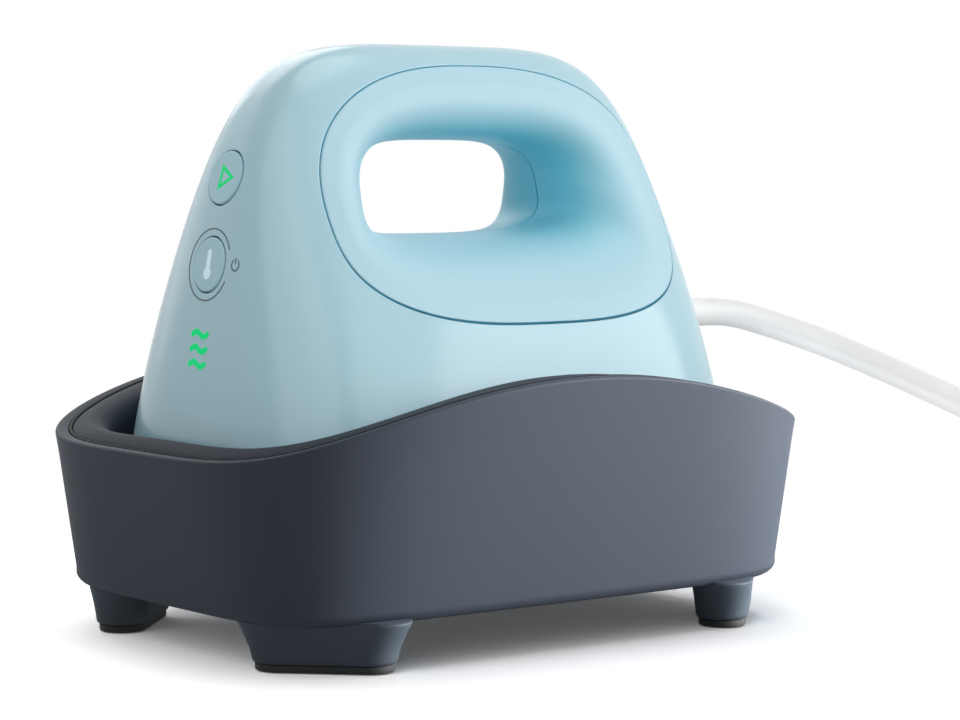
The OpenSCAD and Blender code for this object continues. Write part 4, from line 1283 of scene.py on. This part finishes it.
@dataclass
class PowerCord:
    """Mains lead: tapered boot, free stretch to the floor, put-away coil with its tie, and plug."""

    diameter: float = 7.8
    exit_x: float = 97.8
    exit_z: float = 80.0
    rest_z: float = 4.2
    entry_turn: float = math.radians(-20)
    turns: float = 6.3
    inner_r: float = 31.0
    pitch: float = 8.3
    tail: float = 36.0
    per_turn: int = 48
    per_point: int = 4
    tail_steps: int = 6
    ring_steps: int = 9
    boot_back: float = 58.2
    boot_face: float = 73.8
    boot_r: float = 6.2
    boot_rim_r: float = 7.0
    boot_tip_r: float = 4.0
    boot_over: float = 3.0
    boot_hold: float = 4.0
    boot_flange: tuple = (2.5, 8.0, 4.5)
    boot_rim: tuple = (1.5, 2.0, 4.0)
    boot_edge: float = 0.2
    boot_thin: float = 0.1
    grooves: int = 4
    groove_pitch: float = 2.6
    # Step along the boot or plug, and depth, at each corner of a groove
    groove: tuple = ((-0.9, 0), (-0.6, 0.45), (0.6, 0.45), (0.9, 0))
    rib_groove: tuple = ((-0.8, 0), (-0.5, 0.4), (0.5, 0.4), (0.8, 0))
    crease: float = 25.0
    boot_around: int = 64
    plug_around: int = 72
    tie_w: float = 16.0
    tie_t: float = 0.24
    tie_gap: float = 0.6
    tie_over: float = 0.5
    tie_floor: float = 0.3
    tie_turn: float = math.radians(60)
    tie_power: float = 7.0
    plug_len: float = 40.0
    plug_r: float = 11.5
    plug_edge: float = 1.2
    plug_soft: float = 0.15
    neck_r: float = 4.4
    # Radius and height of the plug's neck, and the height at which it has its full radius
    neck: tuple = ((4.9, 0.6), (6.9, 6), (9.4, 14), (11, 19))
    neck_end: float = 23.5
    neck_steps: int = 5
    ribs: tuple = (26.0, 29.0, 32.0, 35.0)
    blade: tuple = (1.5, 6.4, 18.0)
    blade_gap: float = 12.7
    blade_seat: float = 0.5
    blade_edge: float = 0.4

    def route(self) -> list[Vector]:
        """Points of the free stretch, on its way from the boot to the floor."""
        return [Vector(p) for p in (
            (self.exit_x, 0, self.exit_z), (104, -0.4, 79.8), (111, -1.8, 78.8), (120, -5, 76),
            (128, -9, 73), (136, -13.6, 69.6), (145, -20, 65), (155, -27.5, 59.5),
            (166, -35.5, 53.2), (177, -43.7, 46.6),
            (188, -52, 39.4), (198, -60, 32), (208, -67.4, 23.4), (218, -74, 14.6), (230, -81, 7),
            (244, -87, self.rest_z))]

    def entry(self) -> Vector:
        """Way in which the lead runs into the coil."""
        return Vector((math.cos(self.entry_turn), math.sin(self.entry_turn), 0))

    def middle(self) -> Vector:
        """Middle of the coil, on the floor."""
        way = self.entry()
        start = self.route()[-1] + way * self.diameter
        out = self.inner_r + self.pitch * self.turns / 2
        return start + Vector((-way.y, way.x, 0)) * out

    def coil(self) -> list[Vector]:
        """Points of the coil: in along the floor, up one layer where it turns back, and out again."""
        middle = self.middle()
        steps = math.ceil(self.turns * self.per_turn)
        line = []
        for step in range(steps + 1):
            turn = self.turns * step / steps
            climb = min(1.0, max(0.0, 2 * (turn - self.turns / 2) + 0.5))
            r = self.inner_r + self.pitch * abs(turn - self.turns / 2)
            angle = self.entry_turn - math.pi / 2 + math.tau * turn
            z = self.pitch * (1 - math.cos(math.pi * climb)) / 2
            line.append(Vector((middle.x + r * math.cos(angle), middle.y + r * math.sin(angle),
                                self.rest_z + z)))
        last = self.entry_turn - math.pi / 2 + math.tau * self.turns
        tail = Vector((-math.sin(last), math.cos(last), 0))
        steps = range(1, self.tail_steps + 1)
        return [*line, *(line[-1] + tail * self.tail * k / self.tail_steps for k in steps)]

    def build(self) -> list[bpy.types.Object]:
        """Returns:
            The pieces.
        """
        inside = Vector((self.exit_x - self.boot_hold, 0, self.exit_z))
        path = [p * MM for p in (inside, *smooth_line(self.route(), self.per_point), *self.coil())]
        curve = bpy.data.curves.new("lead", "CURVE")
        curve.dimensions = "3D"
        curve.bevel_depth = self.diameter / 2 * MM
        curve.bevel_resolution = self.ring_steps
        curve.use_fill_caps = True
        spline = curve.splines.new("POLY")
        spline.points.add(len(path) - 1)
        for point, at in zip(spline.points, path):
            point.co = (*at, 1)
        drawn = bpy.data.objects.new("lead", curve)
        bpy.context.scene.collection.objects.link(drawn)
        graph = bpy.context.evaluated_depsgraph_get()
        mesh = bpy.data.meshes.new_from_object(drawn.evaluated_get(graph))
        bpy.data.objects.remove(drawn)
        bm = bmesh.new()
        bm.from_mesh(mesh)
        bpy.data.meshes.remove(mesh)
        bmesh.ops.remove_doubles(bm, verts=bm.verts, dist=WELD)
        lead = make_piece(bm, "power_lead", CORD_PVC)
        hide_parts("power_cord", "cord_coil")
        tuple(path[0])
        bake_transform(lead)
        ends = [self.boot(), self.tie(), *self.plug()]
        length = sum((b - a).length for a, b in zip(path, path[1:]))
        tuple(path[0])
        LOG.info("%s is %.3f m long", lead.name, length)
        return [lead, *ends]

    def boot(self) -> bpy.types.Object:
        """Builds the tapered boot, with shallow grooves that let it bend."""
        tip, face, half = self.exit_x, self.boot_face, self.diameter / 2
        wide, back, front = self.boot_flange
        low, mid, high = self.boot_rim
        start = face + high
        # Radius and place along X: tail, flange inside the shell, neck through it and rim outside
        profile = [(0, self.boot_back), (half, self.boot_back), (half, face - back),
                   (self.boot_r + wide, face - back), (self.boot_r + wide, face - front),
                   (self.boot_r, face - front), (self.boot_r, face + low),
                   (self.boot_rim_r - (mid - low), face + low), (self.boot_rim_r, face + mid),
                   (self.boot_rim_r, start)]

        def taper(x: float) -> float:
            """Radius of the taper at x."""
            return self.boot_rim_r + (self.boot_tip_r - self.boot_rim_r) * (x - start) / (tip - start)

        for k in range(1, self.grooves + 1):
            x = start + self.groove_pitch * k
            profile += [(taper(x + step) - depth, x + step) for step, depth in self.groove]
        end = tip + self.boot_over
        profile += [(self.boot_tip_r, tip - self.boot_over), (half - self.boot_thin, end), (0, end)]
        place = Matrix.Translation((0, 0, self.exit_z)) @ Matrix.Rotation(math.pi / 2, 4, "Y")
        piece = make_piece(revolve(profile, self.boot_around, place), "cord_boot", CORD_PVC)
        round_edges(piece, self.boot_edge, self.crease)
        return settle(piece, "press", "cord_plastic", "strain_relief")

    def tie(self) -> bpy.types.Object:
        """Builds the strap that holds the coil's turns together."""
        middle = self.middle()
        half = self.diameter / 2
        low_r = self.inner_r - half - self.tie_gap
        high_r = self.inner_r + self.pitch * self.turns / 2 + half + self.tie_gap
        low_z, high_z = self.tie_floor - self.tie_t / 2, self.rest_z + self.pitch + half + self.tie_over
        way = self.tie_turn

        def place(u: float, v: float) -> Vector:
            """Point of the strap: u round the turns, v along the lead."""
            angle = evened(u)
            r = (low_r + high_r) / 2 + (high_r - low_r) / 2 * squared(math.cos(angle), self.tie_power)
            z = (low_z + high_z) / 2 + (high_z - low_z) / 2 * squared(math.sin(angle), self.tie_power)
            side = (v - 0.5) * self.tie_w
            return Vector((middle.x + r * math.cos(way) - side * math.sin(way),
                           middle.y + r * math.sin(way) + side * math.cos(way), z))

        piece = make_piece(skin(72, 8, place), "coil_tie_strap", TIE_FABRIC)
        solid = piece.modifiers.new("strap", "SOLIDIFY")
        solid.thickness = self.tie_t * MM
        solid.offset = 0.0
        return settle(piece, "base", "cord_plastic")

    def plug(self) -> list[bpy.types.Object]:
        """Builds the plug's ribbed body and its two blades.

        Returns:
            The pieces.
        """
        line = self.coil()
        way = (line[-1] - line[-2]).normalized()
        turn = Matrix((Vector((-way.y, way.x, 0)), Vector((0, 0, 1)), way)).transposed().to_4x4()
        place = Matrix.Translation(line[-1]) @ turn
        line_up = [Vector(p) for p in (*self.neck, (self.plug_r, self.neck_end))]
        neck = smooth_line(line_up, self.neck_steps)
        profile = [(0, 0), (self.neck_r, 0), *((p.x, p.y) for p in neck)]
        for z in self.ribs:
            profile += [(self.plug_r - depth, z + step) for step, depth in self.rib_groove]
        corner = Vector((self.plug_r - self.plug_edge, self.plug_len - self.plug_edge))
        profile += [*round_corner(corner, self.plug_edge, 0, 90), (0, self.plug_len)]
        body = make_piece(revolve(profile, self.plug_around, place), "plug_body", CORD_PVC)
        round_edges(body, self.plug_soft, self.crease)
        bm = bmesh.new()
        for side in (-0.5, 0.5):
            at = Vector((side * self.blade_gap, 0, self.plug_len - self.blade_seat + self.blade[2] / 2))
            bmesh.ops.create_cube(bm, size=1.0, matrix=Matrix.Scale(MM, 4) @ place @ Matrix.Translation(at)
                                  @ Matrix.Diagonal((*self.blade, 1)))
        blades = make_piece(bm, "plug_blades", BLADE_NICKEL)
        round_edges(blades, self.blade_edge)
        return [settle(body, "base", "cord_plastic", "plug"), settle(blades, "base", "screw_steel")]


class Flag(Enum):
    """How a lamp is flagged: off some pieces, or for them alone."""

    OFF = "EXCLUDE"
    ONLY = "INCLUDE"


@dataclass
class Studio:
    """Pale floor, soft light and the camera at the photograph's angle."""

    eye: tuple = (-462.283, -620.091, 123.762)
    ahead: tuple = (0.61006463, 0.78934344, -0.06897888)
    lens: float = 108.656
    sensor: float = 36.0
    clip: tuple = (0.05, 50.0)
    aim: tuple = (0.0, 0.0, 0.08)
    floor_size: float = 6.0
    floor_drop: float = 0.0002
    bounce: str = "#f0f0f0"
    near: float = 0.12
    far: float = 0.34
    least: float = 0.06
    paper: float = 2.3
    ambient: float = 0.12

    def build(self) -> None:
        """Builds the camera, the floor and the world."""
        self.camera()
        self.floor()
        self.world()
        bpy.context.scene.view_settings.view_transform = "Standard"

    def light(self, base: Sequence[bpy.types.Object], cord: Sequence[bpy.types.Object]) -> None:
        """Hangs the lamps, with flags as in a studio, so that some light one sub-assembly alone.

        Args:
            base: Pieces of the base.
            cord: Pieces of the cord.
        """
        floor = bpy.data.objects["floor"]
        key = self.lamp("key", (0.98, -0.88, 0.45), 1.2, 12.5)
        self.flag(key, [floor], Flag.OFF)
        low = self.lamp("low", (0.42, -0.3, 0.13), 0.3, 5.4)
        self.flag(low, base, Flag.ONLY)
        under = self.lamp("under", (-0.22, -0.48, -0.73), 0.6, 5.5)
        self.flag(under, cord, Flag.ONLY)
        under.light_linking.blocker_collection = self.group("under_blockers", [floor], Flag.OFF)
        front = self.lamp("front", (-1.15, -0.5, 0.8), 1.7, 7.6)
        self.flag(front, [*base, *cord], Flag.OFF)
        self.lamp("top", (0.1, 0.0, 1.6), 1.2, 6.5)
        side = self.lamp("side", (0.1, -1.45, 0.65), 1.3, 5.0)
        self.flag(side, [*base, floor], Flag.OFF)
        self.lamp("rim", (-0.3, 1.2, 0.5), 0.8, 1.0)
        self.lamp("back", (0.3, 1.2, 0.9), 1.0, 3.5)

    def flag(self, lamp: bpy.types.Object, pieces: Sequence[bpy.types.Object], flag: Flag) -> None:
        """Keeps a lamp off some pieces, or for them alone."""
        lamp.light_linking.receiver_collection = self.group(f"{lamp.name}_flag", pieces, flag)

    def group(self, name: str, pieces: Sequence[bpy.types.Object], flag: Flag) -> bpy.types.Collection:
        """Groups the pieces that a lamp is flagged off, or for."""
        group = bpy.data.collections.new(name)
        for piece in pieces:
            group.objects.link(piece)
        for entry in group.collection_objects:
            entry.light_linking.link_state = flag.value
        return group

    def camera(self) -> None:
        """Sets the camera."""
        data = bpy.data.cameras.new("camera")
        data.lens = self.lens
        data.sensor_width = self.sensor
        data.clip_start, data.clip_end = self.clip
        camera = bpy.data.objects.new("camera", data)
        ahead = Vector(self.ahead)
        right = ahead.cross(Vector((0, 0, 1))).normalized()
        turn = Matrix((right, right.cross(ahead), -ahead)).transposed()
        camera.matrix_world = Matrix.Translation(Vector(self.eye) * MM) @ turn.to_4x4()
        bpy.context.scene.collection.objects.link(camera)
        bpy.context.scene.camera = camera

    def floor(self) -> None:
        """Lays the floor: paper with the object's shadow, which goes over to plain white further out."""
        bm = bmesh.new()
        bmesh.ops.create_grid(bm, x_segments=8, y_segments=8, size=self.floor_size)
        mesh = bpy.data.meshes.new("floor")
        bm.to_mesh(mesh)
        bm.free()
        floor = bpy.data.objects.new("floor", mesh)
        floor.location.z = -self.floor_drop
        bpy.context.scene.collection.objects.link(floor)
        made = bpy.data.materials.new("white_paper")
        made.use_nodes = True
        tree = made.node_tree
        tree.nodes.clear()
        path = add(tree, "ShaderNodeLightPath")
        away = add(tree, "ShaderNodeVectorMath", {0: add(tree, "ShaderNodeTexCoord").outputs["Object"]},
                   operation="LENGTH")
        far = add(tree, "ShaderNodeMapRange",
                  {0: away.outputs["Value"], 1: self.near, 2: self.far, 3: self.least},
                  interpolation_type="SMOOTHSTEP")
        past = add(tree, "ShaderNodeMath", {0: far.outputs[0], 1: self.seen(tree, path)},
                   operation="MULTIPLY")
        tone = add(tree, "ShaderNodeMix", {0: path.outputs["Is Camera Ray"], 6: linear(self.bounce),
                                           7: (self.paper, self.paper, self.paper, 1)}, data_type="RGBA")
        paper = add(tree, "ShaderNodeBsdfDiffuse", {"Color": tone.outputs[2]})
        white = add(tree, "ShaderNodeEmission", {"Color": (1, 1, 1, 1), "Strength": 1.0})
        mix = add(tree, "ShaderNodeMixShader",
                  {0: past.outputs[0], 1: paper.outputs[0], 2: white.outputs[0]})
        add(tree, "ShaderNodeOutputMaterial", {"Surface": mix.outputs[0]})
        mesh.materials.append(made)
        floor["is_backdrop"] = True

    def seen(self, tree: bpy.types.NodeTree, path: bpy.types.Node) -> bpy.types.NodeSocket:
        """Picks the rays that see the backdrop: from the camera, off gloss and through glass."""
        seen = path.outputs["Is Camera Ray"]
        for kind in ("Is Glossy Ray", "Is Transmission Ray"):
            either = add(tree, "ShaderNodeMath", {0: seen, 1: path.outputs[kind]}, operation="MAXIMUM")
            seen = either.outputs[0]
        return seen

    def world(self) -> None:
        """Sets a soft even light all round, and white where the camera sees past the floor."""
        world = bpy.data.worlds.new("studio")
        world.use_nodes = True
        tree = world.node_tree
        tree.nodes.clear()
        seen = self.seen(tree, add(tree, "ShaderNodeLightPath"))
        soft = add(tree, "ShaderNodeBackground", {"Color": (1, 1, 1, 1), "Strength": self.ambient})
        white = add(tree, "ShaderNodeBackground", {"Color": (1, 1, 1, 1), "Strength": 1.0})
        mix = add(tree, "ShaderNodeMixShader", {0: seen, 1: soft.outputs[0], 2: white.outputs[0]})
        add(tree, "ShaderNodeOutputWorld", {"Surface": mix.outputs[0]})
        bpy.context.scene.world = world

    def lamp(self, name: str, at: tuple, size: float, watts: float) -> bpy.types.Object:
        """Hangs one soft lamp, in metres, turned to the object's middle."""
        data = bpy.data.lights.new(name, "AREA")
        data.shape = "DISK"
        data.size = size
        data.energy = watts
        lamp = bpy.data.objects.new(name, data)
        lamp.location = at
        lamp.visible_camera = False
        lamp.rotation_mode = "QUATERNION"
        lamp.rotation_quaternion = (Vector(self.aim) - Vector(at)).to_track_quat("-Z", "Y")
        bpy.context.scene.collection.objects.link(lamp)
        return lamp


def dress_nodes() -> None:
    """Gives the nodes that stay in view their finishes."""
    for name, finish in DRESSED.items():
        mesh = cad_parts[name].data
        mesh.materials.clear()
        mesh.materials.append(finish.material())
        LOG.info("%s dressed in %s", name, finish.name)


def write_sizes() -> None:
    """Works out the CAD box and the visual model's box; neither is written out."""
    boxes = {"cad": CAD_BOX, "visual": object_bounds()}
    {name: [list(corner) for corner in box] for name, box in boxes.items()}


def main() -> None:
    """Builds every piece in order and reports it."""
    logging.basicConfig(level=logging.INFO, format="%(name)s: %(message)s")
    studio = Studio()
    studio.build()
    cord = PowerCord().build()
    press, base = PressForm(), BaseForm()
    PressShell(press).build()
    HandleTrims(press).build()
    Collar(press).build()
    PushButtons(press).build()
    studio.light(InsulatedBase(base).build(), cord)
    dress_nodes()
    write_sizes()


if __name__ == "__main__":
    main()
